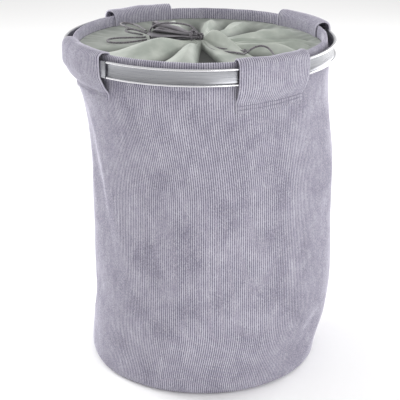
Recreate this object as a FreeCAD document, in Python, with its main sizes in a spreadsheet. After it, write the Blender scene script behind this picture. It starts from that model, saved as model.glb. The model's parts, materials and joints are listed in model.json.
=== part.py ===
import FreeCAD, Part
import math
import os
import re
import Sketcher

# A soft round laundry hamper: a corduroy bag stiffened enough to stand, a metal hoop carried
# round its mouth in four corduroy loops, and a drawstring cloth that closes the mouth.
# Millimetres, +Z up. The origin is the middle of the face that it stands on.

# ---------------------------------------------------------------- driving dimensions
SIZES = [
    # the bag: three nested layers, each turned in at the foot with a soft corner
    ("wall_radius", 186, "outside of the corduroy wall"),
    ("wall_thick", 2, "corduroy"),
    ("felt_thick", 1.2, "interlining that keeps the wall standing"),
    ("lining_thick", 1, "polyester lining"),
    ("layer_gap", 0.2, "air between two layers"),
    ("wall_corner", 14, "radius of the soft bottom edge"),
    ("wall_top", 472, "where the wall meets the folded collar"),
    ("foot_radius", 160, "seam between the wall and the bottom"),
    ("panel_thick", 2, "bottom cloth and base board"),
    ("binding_width", 6, "tape over the bottom seam"),
    ("binding_thick", 1.4, "tape over the bottom seam"),
    ("seam_degrees", 5, "width of the side seam's tape, as an angle"),
    ("seam_azimuth", 104, "where the side seam is"),
    ("seam_low", 32, "bottom of the side seam's tape"),
    # the collar: the wall's top edge, folded over and faced
    ("collar_radius", 188, "outside of the folded collar"),
    ("collar_thick", 4, "two layers of corduroy"),
    ("collar_top", 505, "top of the collar"),
    ("collar_round", 1.8, "rounding of its top edges"),
    ("facing_thick", 2.4, "corduroy facing inside the collar"),
    ("facing_top", 500, "top of the facing"),
    # the hoop: an open channel with rolled lips, joined by a plain sleeve
    ("hoop_radius", 200, "outside of the hoop's lips"),
    ("hoop_depth", 5, "from the web's back to the lips' edge"),
    ("hoop_web", 1, "sheet thickness of the web"),
    ("hoop_lip", 3, "height of one rolled lip"),
    ("hoop_height", 24, "height of the hoop"),
    ("hoop_top", 500, "top of the hoop"),
    ("lip_round", 1.2, "rounding of the lips"),
    ("joint_azimuth", -116, "right-hand end of the joiner"),
    ("joiner_degrees", 14, "length of the joiner's sleeve, as an angle"),
    ("joint_gap_degrees", 0.5, "open line between the joiner and the hoop"),
    ("tongue_degrees", 8, "how far the joiner's tongues reach behind the web"),
    ("tongue_thick", 1.5, "thickness of the tongues"),
    ("rivet_radius", 2, "rivet shank"),
    ("rivet_head", 3.2, "rivet head"),
    ("rivet_head_thick", 0.9, "height of its heads"),
    ("rivet_spacing", 9, "between the two rivets"),
    # the loops
    ("loop_degrees", 32, "width of one loop, as an angle"),
    ("loop_thick", 2, "two layers of corduroy"),
    ("loop_inside", 180.1, "middle of the loop's inner leg, as a radius"),
    ("loop_outside", 205.6, "middle of its outer leg"),
    ("loop_start", 489, "where the inner leg is sewn to the facing"),
    ("loop_crest", 509.5, "middle of the cloth at the top"),
    ("loop_bend", 470, "where the outer leg turns back to the wall"),
    ("loop_sewn", 450, "where it meets the wall"),
    ("loop_end", 443, "its lower edge"),
    ("loop_wall_gap", 0.5, "between the sewn edge and the wall"),
    ("loop_round_inside", 8, "bend at the crest, above the inner leg"),
    ("loop_round_outside", 10, "bend at the crest, above the outer leg"),
    ("loop_round_low", 12, "bend below the hoop"),
    ("loop_round_sewn", 8, "bend where it meets the wall"),
    # the drawstring closure: a sewn ring of cloth and eight pleated panels
    ("yoke_radius", 181.2, "where the cloth is sewn to the facing"),
    ("cloth_low", 485, "underside of the closure cloth"),
    ("cloth_thick", 3, "room that the flat cloth takes"),
    ("pleat_corner", 178, "radius of the corners between two panels"),
    ("pleat_tip", 24, "where a panel ends at the gathered neck"),
    ("pleat_gap", 2, "half the clearance between two panels"),
    ("hinge_gap", 1, "between a panel and the sewn ring"),
    # the gathered neck, lying over to one side, and its cord
    ("neck_azimuth", 172, "direction in which the gathered casing lies"),
    ("neck_start", 7, "its tied end, from the axis"),
    ("neck_length", 62, "length of the gathered casing"),
    ("neck_tied", 7.5, "its radius where it is tied"),
    ("neck_flare", 11.5, "its radius at the loose end"),
    ("neck_lift", 0.4, "above the cloth"),
    ("tie_clear", 0.6, "between the tied neck and the cord round it"),
    ("tie_along", 3, "from the neck's tied end to the cord round it"),
    ("knot_clear", 0.3, "between the bow's knot and the neck"),
    ("end_knot_clear", 0.05, "between a tail and its end knot"),
    ("cord_diameter", 2.8, "drawcord"),
    ("knot_radius", 6.5, "bow knot"),
    ("end_knot_radius", 3.2, "knot at a cord's end"),
]

# Loops stand on the diagonals, named as seen from the front (-Y).
LOOPS = {"front_right": -45, "back_right": 45, "back_left": 135, "front_left": -135}

# The closure's panels, anticlockwise from the first edge: name and width in degrees.
FIRST_PLEAT_EDGE = -64
PLEATS = [
    ("front_right", 45),
    ("right", 45),
    ("back_right", 45),
    ("back", 33.5),
    ("back_left", 33.5),
    ("left", 68),
    ("front_left", 45),
    ("front", 45),
]

# Routes of the drawcord's loose parts, by hand: the arc over the neck, three bow loops and
# two tails.
CORDS = {
    "drawcord_wrap": [
        (-75, 0, 492), (-79, 1, 502), (-72, 1, 512), (-56, 2, 516.5), (-38, 3, 517),
        (-21, 2, 516), (-8, -3, 513), (-1, -10, 506),
    ],
    "bow_loop_low": [
        (-80, -6, 492), (-97, -22, 490.6), (-116, -31, 490.2), (-131, -30, 490.4),
        (-138, -20, 490.8), (-134, -8, 491), (-120, 1, 491), (-101, 4, 491.4), (-84, 3, 493.4),
    ],
    "bow_loop_high": [
        (-83, 8, 498), (-98, 10, 501), (-115, 17, 503), (-129, 29, 503.4), (-137, 43, 503),
        (-133, 53, 502.4), (-120, 51, 502), (-104, 38, 501), (-89, 21, 499),
    ],
    "bow_loop_mid": [
        (-79, 12, 495), (-91, 23, 495.6), (-106, 35, 496), (-119, 38, 496.4), (-125, 29, 496.4),
        (-118, 19, 496.2), (-104, 13, 496), (-91, 10.5, 495.2),
    ],
    "drawcord_tail_long": [
        (13, -22, 491.4), (26, -38, 490.2), (41, -46, 490), (57, -45, 490), (71, -50, 490.4),
        (81, -60, 492), (88, -60, 499), (98, -52, 503.4), (110, -50, 502), (120, -60, 496),
        (127, -74, 491.4), (127, -88, 491.6),
    ],
    "drawcord_tail_short": [
        (21, -20, 490.6), (34, -27, 490), (50, -30, 490), (64, -37, 490.8), (73, -41, 491.6),
    ],
}
TAILS = ["drawcord_tail_long", "drawcord_tail_short"]

doc = FreeCAD.newDocument("laundry_hamper")
sheet = doc.addObject("Spreadsheet::Sheet", "Sizes")
for row, (alias, value, note) in enumerate(SIZES, start=1):
    sheet.set(f"A{row}", alias)
    sheet.set(f"B{row}", str(value))
    sheet.set(f"C{row}", note)
    sheet.setAlias(f"B{row}", alias)
doc.recompute()

parts = []


def size(alias):
    """A driving dimension as a number."""
    return float(sheet.get(alias))


def bound(words):
    """An expression whose aliases are read from the sheet."""
    aliases = "|".join(entry[0] for entry in SIZES)
    return re.sub(rf"\b({aliases})\b", r"Sizes.\1", str(words))


def keep(piece, label):
    """Name a finished sub-part and list it for writing."""
    piece.Label = label
    parts.append(piece)
    return piece


def face_about(piece, azimuth):
    """Turn a sub-part about Z to an azimuth, which may be an expression."""
    piece.Placement = FreeCAD.Placement(FreeCAD.Vector(), FreeCAD.Rotation(FreeCAD.Vector(0, 0, 1), 1))
    piece.setExpression("Placement.Rotation.Angle", bound(f"({azimuth}) * 1 deg"))


# ---------------------------------------------------------------- ways of making a piece
def polygon(sketch, points):
    """A closed outline whose corners are bound, as (across, up) expressions."""
    count = len(points)
    rough = [FreeCAD.Vector(math.cos(2 * math.pi * k / count), math.sin(2 * math.pi * k / count), 0)
             for k in range(count)]
    for k in range(count):
        sketch.addGeometry(Part.LineSegment(rough[k] * 10, rough[(k + 1) % count] * 10), False)
    for k in range(count):
        sketch.addConstraint(Sketcher.Constraint("Coincident", k, 2, (k + 1) % count, 1))
    for k, (across, up) in enumerate(points):
        for kind, words in (("DistanceX", across), ("DistanceY", up)):
            index = sketch.addConstraint(Sketcher.Constraint(kind, -1, 1, k, 1, 10.0))
            sketch.setExpression(f"Constraints[{index}]", bound(words))


def plane(body, role):
    """One of a body's own origin planes."""
    return next(item for item in body.Origin.OriginFeatures if item.Role == role)


def turned(label, points, degrees="360", azimuth=None):
    """A body turned about Z from an outline of (radius, height) expressions."""
    body = doc.addObject("PartDesign::Body", label + "_body")
    sketch = body.newObject("Sketcher::SketchObject", label + "_section")
    sketch.AttachmentSupport = [(plane(body, "XZ_Plane"), "")]
    sketch.MapMode = "FlatFace"
    polygon(sketch, points)
    turn = body.newObject("PartDesign::Revolution", label + "_turn")
    turn.Profile = sketch
    turn.ReferenceAxis = (sketch, ["V_Axis"])
    turn.Midplane = degrees != "360"
    turn.setExpression("Angle", bound(degrees))
    if azimuth is not None:
        face_about(body, azimuth)
    doc.recompute()
    return keep(body, label)


def ring(label, inner, outer, low, high, degrees="360", azimuth=None):
    """A turned body with a rectangular section."""
    return turned(label, [(inner, low), (outer, low), (outer, high), (inner, high)], degrees, azimuth)


def disc(label, radius, low, thick):
    """A flat round piece."""
    piece = doc.addObject("Part::Cylinder", label + "_disc")
    piece.setExpression("Radius", bound(radius))
    piece.setExpression("Height", bound(thick))
    piece.setExpression("Placement.Base.z", bound(low))
    return keep(piece, label)


def rounded(body, radius, wanted):
    """Round a body's circular edges that a test on (radius, height) picks."""
    tip = body.Tip
    names = []
    for number, edge in enumerate(tip.Shape.Edges, start=1):
        if isinstance(edge.Curve, Part.Circle) and wanted(edge.Curve.Radius, edge.Curve.Center.z):
            names.append(f"Edge{number}")
    fillet = body.newObject("PartDesign::Fillet", tip.Name + "_round")
    fillet.Base = (tip, names)
    fillet.setExpression("Radius", bound(radius))
    doc.recompute()


def near(value, target):
    """True where two lengths are the same."""
    return abs(value - target) < 0.01


def tub_wall(label, outer, thick, low, corner):
    """One soft layer of the wall, turned in at the foot with a rounded corner."""
    inner = f"({outer}) - ({thick})"
    floor = f"({low}) + ({thick})"
    body = turned(label, [
        ("foot_radius", low), (outer, low), (outer, "wall_top"), (inner, "wall_top"),
        (inner, floor), ("foot_radius", floor),
    ])
    base = body.Tip.Shape.BoundBox.ZMin
    widest = body.Tip.Shape.BoundBox.XMax
    step = size(thick)
    rounded(body, corner, lambda radius, up: near(radius, widest) and near(up, base))
    rounded(body, f"({corner}) - ({thick})",
            lambda radius, up: near(radius, widest - step) and near(up, base + step))


# ---------------------------------------------------------------- the bag
felt_outer = "wall_radius - wall_thick - layer_gap"
felt_low = "wall_thick + layer_gap"
lining_outer = f"{felt_outer} - felt_thick - layer_gap"
lining_low = f"{felt_low} + felt_thick + layer_gap"
panel_radius = "foot_radius - layer_gap"

tub_wall("outer_wall", "wall_radius", "wall_thick", "0", "wall_corner")
tub_wall("wall_interlining", felt_outer, "felt_thick", felt_low, "wall_corner - wall_thick - layer_gap")
tub_wall("wall_lining", lining_outer, "lining_thick", lining_low,
         "wall_corner - wall_thick - felt_thick - layer_gap * 2")
disc("bottom_panel", panel_radius, "0", "panel_thick - layer_gap")
disc("base_board", panel_radius, "panel_thick", "panel_thick")
disc("bottom_lining", panel_radius, "panel_thick * 2 + layer_gap", "lining_thick")
binding_low = "panel_thick * 2 + lining_thick + layer_gap * 2"
ring("bottom_binding", "foot_radius - binding_width / 2", "foot_radius + binding_width / 2",
     binding_low, f"{binding_low} + binding_thick")
ring("side_seam_tape", f"{lining_outer} - lining_thick * 2 - layer_gap",
     f"{lining_outer} - lining_thick - layer_gap", "seam_low", "wall_top - layer_gap",
     "seam_degrees", "seam_azimuth")

# ---------------------------------------------------------------- the collar
collar = ring("collar_hem", "collar_radius - collar_thick", "collar_radius",
              "wall_top + layer_gap * 2", "collar_top")
rounded(collar, "collar_round", lambda radius, up: near(up, size("collar_top")))
ring("collar_facing", "collar_radius - collar_thick - layer_gap - facing_thick",
     "collar_radius - collar_thick - layer_gap", "wall_top + layer_gap * 2", "facing_top")

# ---------------------------------------------------------------- the hoop
web_back = "hoop_radius - hoop_depth"
web_face = f"{web_back} + hoop_web"
hoop_low = "hoop_top - hoop_height"
hoop = turned("hoop_channel", [
    (web_back, hoop_low), ("hoop_radius", hoop_low), ("hoop_radius", f"{hoop_low} + hoop_lip"),
    (web_face, f"{hoop_low} + hoop_lip"), (web_face, "hoop_top - hoop_lip"),
    ("hoop_radius", "hoop_top - hoop_lip"), ("hoop_radius", "hoop_top"), (web_back, "hoop_top"),
], "360 - joiner_degrees - joint_gap_degrees * 2",
    "joint_azimuth - joiner_degrees / 2 + 180")
rounded(hoop, "lip_round", lambda radius, up: near(radius, size("hoop_radius")))


def joiner():
    """The plain sleeve that closes the hoop, with a tongue behind the web at each end."""
    middle = size("joint_azimuth") - size("joiner_degrees") / 2
    back = size("hoop_radius") - size("hoop_depth")
    low = size("hoop_top") - size("hoop_height")
    lip = size("hoop_lip")
    gap = size("layer_gap")

    def arc_block(inner, outer, bottom, top, degrees):
        """A piece of a ring, centred on the joiner."""
        turn = FreeCAD.Vector(0, 0, 1)
        start = FreeCAD.Placement(FreeCAD.Vector(), FreeCAD.Rotation(turn, middle - degrees / 2))
        corners = [(inner, bottom), (outer, bottom), (outer, top), (inner, top), (inner, bottom)]
        wire = Part.makePolygon([FreeCAD.Vector(radius, 0, up) for radius, up in corners])
        block = Part.Face(wire).revolve(FreeCAD.Vector(), turn, degrees)
        block.Placement = start
        return block

    top = size("hoop_top")
    tongue_face = back - gap
    sleeve = arc_block(tongue_face - size("tongue_thick"), size("hoop_radius") - gap, low, top,
                       size("joiner_degrees"))
    tongue = arc_block(tongue_face - size("tongue_thick"), tongue_face, low + lip, top - lip,
                       size("joiner_degrees") + 2 * size("tongue_degrees"))
    return sleeve.fuse(tongue).removeSplitter()


def rivets():
    """Two rivets, one above the other, through the web and the hidden tongue."""
    azimuth = math.radians(size("joint_azimuth") - size("joiner_degrees") - size("tongue_degrees") / 2)
    out = FreeCAD.Vector(math.cos(azimuth), math.sin(azimuth), 0)
    back = size("hoop_radius") - size("hoop_depth")
    face = back + size("hoop_web")
    hidden = back - size("layer_gap") - size("tongue_thick")
    head = size("rivet_head_thick")
    middle = size("hoop_top") - size("hoop_height") / 2
    pieces = []
    for side in (-1, 1):
        line = FreeCAD.Vector(0, 0, middle + side * size("rivet_spacing") / 2)
        shank = Part.makeCylinder(size("rivet_radius"), face - hidden, line + out * hidden, out)
        front = Part.makeCylinder(size("rivet_head"), head, line + out * face, out)
        rear = Part.makeCylinder(size("rivet_head"), head, line + out * (hidden - head), out)
        pieces.append(shank.fuse([front, rear]).removeSplitter())
    return Part.makeCompound(pieces)


def shaped(label, shape):
    """A sub-part whose shape is made by Part's functions from the sheet's sizes."""
    piece = doc.addObject("Part::Feature", label + "_shape")
    piece.Shape = shape
    return keep(piece, label)


shaped("hoop_joiner", joiner())
shaped("hoop_rivets", rivets())


# ---------------------------------------------------------------- the loops
def rounded_path(points, radii):
    """Edges through points, with an arc of each radius at each inner point."""
    edges = []
    last = points[0]
    for before, corner, after, radius in zip(points, points[1:], points[2:], radii):
        toward = (before - corner).normalize()
        away = (after - corner).normalize()
        half = toward.getAngle(away) / 2
        cut = radius / math.tan(half)
        middle = corner + (toward + away).normalize() * (radius / math.sin(half) - radius)
        edges.append(Part.LineSegment(last, corner + toward * cut).toShape())
        edges.append(Part.Arc(corner + toward * cut, middle, corner + away * cut).toShape())
        last = corner + away * cut
    edges.append(Part.LineSegment(last, points[-1]).toShape())
    return edges


def loop_section():
    """The strap's section: up inside the collar, over the hoop, and back in to the wall."""
    thick = size("loop_thick")
    sewn = size("wall_radius") + size("loop_wall_gap") + thick / 2
    line = [
        FreeCAD.Vector(size("loop_inside"), 0, size("loop_start")),
        FreeCAD.Vector(size("loop_inside"), 0, size("loop_crest")),
        FreeCAD.Vector(size("loop_outside"), 0, size("loop_crest")),
        FreeCAD.Vector(size("loop_outside"), 0, size("loop_bend")),
        FreeCAD.Vector(sewn, 0, size("loop_sewn")),
        FreeCAD.Vector(sewn, 0, size("loop_end")),
    ]
    rounds = [size(f"loop_round_{name}") for name in ("inside", "outside", "low", "sewn")]
    path = Part.Wire(rounded_path(line, rounds))
    one_side = path.makeOffset2D(thick / 2, 0, False, True, False)
    other_side = path.makeOffset2D(-thick / 2, 0, False, True, False)
    ends = []
    for pick in (0, -1):
        ends.append([side.OrderedVertexes[pick].Point for side in (one_side, other_side)])
    caps = [Part.LineSegment(first, second).toShape() for first, second in ends]
    return Part.Face(Part.Wire(Part.__sortEdges__(one_side.Edges + other_side.Edges + caps)))


section = loop_section()
turn = size("loop_degrees")
for name, azimuth in LOOPS.items():
    strap = section.revolve(FreeCAD.Vector(), FreeCAD.Vector(0, 0, 1), turn)
    loop = shaped("loop_" + name, strap)
    loop.Placement = FreeCAD.Placement(
        FreeCAD.Vector(), FreeCAD.Rotation(FreeCAD.Vector(0, 0, 1), azimuth - turn / 2))

# ---------------------------------------------------------------- the drawstring closure
cloth = doc.addObject("Part::Cylinder", "closure_disc")
cloth.setExpression("Radius", bound("yoke_radius"))
cloth.setExpression("Height", bound("cloth_thick"))
cloth.setExpression("Placement.Base.z", bound("cloth_low"))
mouth = doc.addObject("PartDesign::Body", "closure_mouth")
outline = mouth.newObject("Sketcher::SketchObject", "closure_outline")
outline.AttachmentSupport = [(plane(mouth, "XY_Plane"), "")]
outline.MapMode = "FlatFace"
edge = FIRST_PLEAT_EDGE
corners = []
for name, width in PLEATS:
    corners.append((f"pleat_corner * cos({edge} deg)", f"pleat_corner * sin({edge} deg)"))
    edge += width
polygon(outline, corners)
hole = mouth.newObject("PartDesign::Pad", "closure_hole")
hole.Profile = outline
hole.setExpression("Length", bound("cloth_thick * 3"))
mouth.setExpression("Placement.Base.z", bound("cloth_low - cloth_thick"))
yoke = doc.addObject("Part::Cut", "closure_yoke_cut")
yoke.Base = cloth
yoke.Tool = mouth
keep(yoke, "closure_yoke")

edge = FIRST_PLEAT_EDGE
for name, width in PLEATS:
    body = doc.addObject("PartDesign::Body", f"pleat_{name}_body")
    plan = body.newObject("Sketcher::SketchObject", f"pleat_{name}_plan")
    plan.AttachmentSupport = [(plane(body, "XY_Plane"), "")]
    plan.MapMode = "FlatFace"
    outer = f"(pleat_corner * cos({width / 2} deg) - hinge_gap)"
    slope = f"tan({width / 2} deg)"
    inset = f"pleat_gap / cos({width / 2} deg)"
    tip_half = f"(pleat_tip * {slope} - {inset})"
    outer_half = f"({outer} * {slope} - {inset})"
    polygon(plan, [
        ("pleat_tip", f"-{tip_half}"), (outer, f"-{outer_half}"),
        (outer, outer_half), ("pleat_tip", tip_half),
    ])
    pad = body.newObject("PartDesign::Pad", f"pleat_{name}_pad")
    pad.Profile = plan
    pad.setExpression("Length", bound("cloth_thick"))
    face_about(body, edge + width / 2)
    body.setExpression("Placement.Base.z", bound("cloth_low"))
    keep(body, f"closure_pleat_{name}")
    edge += width

# ---------------------------------------------------------------- the neck and the drawcord
neck_turn = math.radians(size("neck_azimuth"))
neck_way = FreeCAD.Vector(math.cos(neck_turn), math.sin(neck_turn), 0)
neck_height = size("cloth_low") + size("cloth_thick") + size("neck_lift") + size("neck_flare")
neck_foot = neck_way * size("neck_start") + FreeCAD.Vector(0, 0, neck_height)
casing = doc.addObject("Part::Cone", "neck_cone")
casing.setExpression("Radius1", bound("neck_tied"))
casing.setExpression("Radius2", bound("neck_flare"))
casing.setExpression("Height", bound("neck_length"))
lie_down = FreeCAD.Rotation(FreeCAD.Vector(0, 0, 1), neck_way)
casing.Placement = FreeCAD.Placement(neck_foot, lie_down)
keep(casing, "neck_casing")

tie = doc.addObject("Part::Torus", "neck_tie_ring")
tie.setExpression("Radius1", bound("neck_tied + cord_diameter / 2 + tie_clear"))
tie.setExpression("Radius2", bound("cord_diameter / 2"))
tie.Placement = FreeCAD.Placement(neck_foot + neck_way * size("tie_along"), lie_down)
keep(tie, "neck_tie")

knot = doc.addObject("Part::Sphere", "bow_knot_ball")
knot.setExpression("Radius", bound("knot_radius"))
knot.Placement.Base = neck_foot - neck_way * (size("knot_radius") + size("knot_clear"))
keep(knot, "bow_knot")


ARC_SHARE = 0.45  # how much of the shorter run an arc may use up


def cord_tube(name, points, diameter):
    """A round cord along straight runs joined by the largest arcs that the runs allow."""
    route = [FreeCAD.Vector(*point) for point in points]
    radii = []
    for before, corner, after in zip(route, route[1:], route[2:]):
        turn_half = (math.pi - (before - corner).getAngle(after - corner)) / 2
        shorter = min((before - corner).Length, (after - corner).Length)
        radii.append(ARC_SHARE * shorter / math.tan(turn_half))
    path = Part.Wire(rounded_path(route, radii))
    start = Part.Circle(route[0], route[1] - route[0], diameter / 2).toShape()
    tube = path.makePipeShell([Part.Wire(start)], True, True)
    exact = math.pi * (diameter / 2) ** 2 * path.Length
    print(f"{name}: length {path.Length:.1f}, smallest radius {min(radii):.1f} = "
          f"{min(radii) / diameter:.1f} diameters, volume {tube.Volume:.0f} of {exact:.0f}")
    return tube


for name, route in CORDS.items():
    shaped(name, cord_tube(name, route, size("cord_diameter")))
for name in TAILS:
    end = FreeCAD.Vector(*CORDS[name][-1])
    run = (end - FreeCAD.Vector(*CORDS[name][-2])).normalize()
    ball = doc.addObject("Part::Sphere", name + "_ball")
    ball.setExpression("Radius", bound("end_knot_radius"))
    ball.Placement.Base = end + run * (size("end_knot_radius") + size("end_knot_clear"))
    keep(ball, name.replace("drawcord_tail", "end_knot"))

# ---------------------------------------------------------------- check and write
doc.recompute()
for item in doc.Objects:
    if "Invalid" in item.State or "Error" in item.State:
        raise RuntimeError(f"{item.Name} failed: {item.State}")
os.makedirs("parts", exist_ok=True)
for piece in parts:
    if piece.Shape.isNull() or not piece.Shape.isValid():
        raise RuntimeError(f"{piece.Label} has no valid shape")
    piece.Shape.exportStep(f"parts/{piece.Label}.step")
print(f"{len(parts)} sub-parts written")
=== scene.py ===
"""A soft round laundry hamper: corduroy bag, metal hoop in four loops, drawstring closure.

Lengths are metres and angles degrees, except where a docstring says millimetres. The bag's size
and travel, the hoop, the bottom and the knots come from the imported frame. The collar, the loops,
the closure and the cord are drawn here to the same plan.
"""

from __future__ import annotations

import json
import logging
import math
from dataclasses import dataclass, field
from enum import Enum
from typing import Callable, Iterable, Sequence

import bpy
from mathutils import Matrix, Vector, noise

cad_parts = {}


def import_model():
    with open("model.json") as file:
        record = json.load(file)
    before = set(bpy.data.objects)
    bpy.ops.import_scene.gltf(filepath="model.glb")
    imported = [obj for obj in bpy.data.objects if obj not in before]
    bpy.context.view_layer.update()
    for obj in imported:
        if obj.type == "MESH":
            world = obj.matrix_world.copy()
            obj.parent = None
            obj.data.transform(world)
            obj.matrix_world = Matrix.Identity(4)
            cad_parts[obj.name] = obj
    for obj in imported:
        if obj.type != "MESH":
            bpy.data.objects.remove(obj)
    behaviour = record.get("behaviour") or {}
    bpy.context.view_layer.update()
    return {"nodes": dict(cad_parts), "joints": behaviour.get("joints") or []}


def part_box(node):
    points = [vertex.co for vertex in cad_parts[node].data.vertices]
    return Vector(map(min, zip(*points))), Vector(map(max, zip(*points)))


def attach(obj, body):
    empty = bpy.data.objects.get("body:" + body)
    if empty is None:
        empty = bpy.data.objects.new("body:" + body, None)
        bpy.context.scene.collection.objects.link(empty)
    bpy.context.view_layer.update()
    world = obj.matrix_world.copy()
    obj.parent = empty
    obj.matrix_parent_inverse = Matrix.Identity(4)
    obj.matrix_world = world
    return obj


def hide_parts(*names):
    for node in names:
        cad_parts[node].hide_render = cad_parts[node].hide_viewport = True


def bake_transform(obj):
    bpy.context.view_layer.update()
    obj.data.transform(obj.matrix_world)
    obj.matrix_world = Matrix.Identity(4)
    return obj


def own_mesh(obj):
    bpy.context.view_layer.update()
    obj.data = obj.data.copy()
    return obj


LOG = logging.getLogger("hamper")
MM = 0.001
FRONT_AZIMUTH = -76.0  # direction, in the frame, of the bag's front
FINE_STEPS = 12  # samples between two points of a smooth path, before they are spaced evenly
RIB_STEPS = 4  # mesh columns to one corduroy rib
DENT_FADE = 1.6  # how fast a dent in the bag fades away from its middle
DENT_END = 5.0  # squared reach past which a dent is left out
Colour = tuple[float, float, float, float]
Place = Callable[[float, float], Vector]


# ------------------------------------------------------------------ small tools
def linear(code: str) -> Colour:
    """Turn an sRGB hex colour to linear light.

    Args:
        code: six hex digits.

    Returns:
        Red, green, blue and full opacity.
    """
    values = []
    for start in (0, 2, 4):
        share = int(code[start:start + 2], 16) / 255
        values.append(share / 12.92 if share <= 0.04045 else ((share + 0.055) / 1.055) ** 2.4)
    return values[0], values[1], values[2], 1.0


def node(tree: bpy.types.NodeTree, kind: str, inputs: dict | None = None,
         **settings) -> bpy.types.Node:
    """Add a node with its settings, constants and links.

    Args:
        tree: the tree that takes the node.
        kind: the node's type name.
        inputs: for each input's name or number, a constant or the socket to link.
        settings: the node's own properties.

    Returns:
        The new node.
    """
    made = tree.nodes.new(kind)
    for name, value in settings.items():
        setattr(made, name, value)
    for key, value in (inputs or {}).items():
        if isinstance(value, bpy.types.NodeSocket):
            tree.links.new(value, made.inputs[key])
        else:
            made.inputs[key].default_value = value
    return made


def smooth(value: float, low: float, high: float) -> float:
    """Rise smoothly from 0 at low to 1 at high."""
    share = min(1.0, max(0.0, (value - low) / (high - low)))
    return share * share * (3 - 2 * share)


def turn_between(angle: float, other: float) -> float:
    """The signed angle in degrees from other to angle, between -180 and 180."""
    return (angle - other + 180) % 360 - 180


def polar(radius: float, azimuth: float, height: float) -> Vector:
    """A point from its radius, azimuth in degrees and height."""
    angle = math.radians(azimuth)
    return Vector((radius * math.cos(angle), radius * math.sin(angle), height))


def smooth_path(points: Sequence[tuple[float, float]], count: int) -> list[tuple[float, float]]:
    """Sample a Catmull-Rom curve evenly through a few points.

    Args:
        points: the points that the curve passes through.
        count: how many samples to give.

    Returns:
        The samples, evenly spaced along the curve.
    """
    ends = [points[0], *points, points[-1]]
    fine: list[tuple[float, float]] = []
    for a, b, c, d in zip(ends, ends[1:], ends[2:], ends[3:]):
        for step in range(FINE_STEPS):
            t = step / FINE_STEPS
            fine.append(tuple(
                0.5 * (2 * q + (r - p) * t + (2 * p - 5 * q + 4 * r - s) * t * t
                       + (3 * q - p - 3 * r + s) * t ** 3)
                for p, q, r, s in zip(a, b, c, d)))
    fine.append(points[-1])
    lengths = [0.0]
    for before, after in zip(fine, fine[1:]):
        lengths.append(lengths[-1] + math.dist(before, after))
    picked = []
    at = 0
    for step in range(count):
        want = lengths[-1] * step / (count - 1)
        while at < len(lengths) - 2 and lengths[at + 1] < want:
            at += 1
        share = (want - lengths[at]) / max(1e-9, lengths[at + 1] - lengths[at])
        picked.append(tuple(p + (q - p) * share for p, q in zip(fine[at], fine[at + 1])))
    return picked


def new_object(name: str, data: bpy.types.ID) -> bpy.types.Object:
    """Link a new object at the origin."""
    made = bpy.data.objects.new(name, data)
    bpy.context.scene.collection.objects.link(made)
    return made


def sheet_object(name: str, columns: int, rows: int, place: Place, closed: bool = False,
                 wales: float = 0.0, flip: bool = False) -> bpy.types.Object:
    """Make a mesh over a grid of columns and rows.

    Args:
        name: the object's name.
        columns: how many steps across; a closed sheet joins the last to the first.
        rows: how many steps along.
        place: gives the point at a column share and a row share, each from 0 to 1.
        closed: whether the sheet closes on itself across.
        wales: how many corduroy ribs run across it, kept as the attribute "wale".
        flip: whether the faces look the other way.

    Returns:
        The new object, with smooth faces.
    """
    across = columns if closed else columns + 1
    points = []
    turns = []
    for row in range(rows + 1):
        for column in range(across):
            points.append(place(column / columns, row / rows))
            turns.append(wales * column / columns)
    faces = []
    for row in range(rows):
        for column in range(columns):
            a = row * across + column
            b = row * across + (column + 1) % across
            corners = (a, b, b + across, a + across)
            faces.append(corners[::-1] if flip else corners)
    mesh = bpy.data.meshes.new(name)
    mesh.from_pydata(points, [], faces)
    mesh.attributes.new("wale", "FLOAT", "POINT").data.foreach_set("value", turns)
    mesh.shade_smooth()
    mesh.update()
    return new_object(name, mesh)


def plain(piece: bpy.types.Object) -> bpy.types.Object:
    """Turn a piece's evaluated result into its own mesh and drop its modifiers."""
    graph = bpy.context.evaluated_depsgraph_get()
    made = bpy.data.meshes.new_from_object(
        piece.evaluated_get(graph), preserve_all_data_layers=True, depsgraph=graph)
    made.name = piece.name
    piece.modifiers.clear()
    piece.data = made
    return piece


def thicken(piece: bpy.types.Object, thickness: float, offset: float = -1.0) -> bpy.types.Object:
    """Give a sheet its cloth's thickness."""
    wall = piece.modifiers.new("thickness", "SOLIDIFY")
    wall.thickness = thickness
    wall.offset = offset
    wall.use_even_offset = False
    return plain(piece)


def run_tree(piece: bpy.types.Object, tree: bpy.types.NodeTree, values: dict) -> bpy.types.Object:
    """Run a Geometry Nodes tree on a piece and keep the result as a plain mesh.

    Args:
        piece: the object that the tree works on.
        tree: the tree.
        values: each named input's value.

    Returns:
        The same object with its new mesh.
    """
    run = piece.modifiers.new(tree.name, "NODES")
    run.node_group = tree
    for item in tree.interface.items_tree:
        if item.item_type == "SOCKET" and item.in_out == "INPUT" and item.name in values:
            run[item.identifier] = values[item.name]
    return plain(piece)


def dress(piece: bpy.types.Object, finish: bpy.types.Material) -> None:
    """Give a piece one material."""
    piece.data.materials.clear()
    piece.data.materials.append(finish)


def settle(piece: bpy.types.Object, body: str, slot: str, *nodes: str) -> bpy.types.Object:
    """Ride a piece on a body and let it stand for CAD nodes.

    Args:
        piece: the finished piece.
        body: the body that it moves with.
        slot: the record's material slot; not used.
        nodes: the CAD nodes that it stands for.

    Returns:
        The piece.
    """
    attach(piece, body)
    if nodes:
        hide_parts(*nodes)
    LOG.info("%s rides on %s", piece.name, body)
    return piece


# ------------------------------------------------------------------ finishes
class Weave(Enum):
    """How a cloth is woven, which sets its pattern and its gloss."""

    TAFFETA = "fine plain weave"
    CANVAS = "coarser plain weave"
    FELT = "needled, with no threads"


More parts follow.
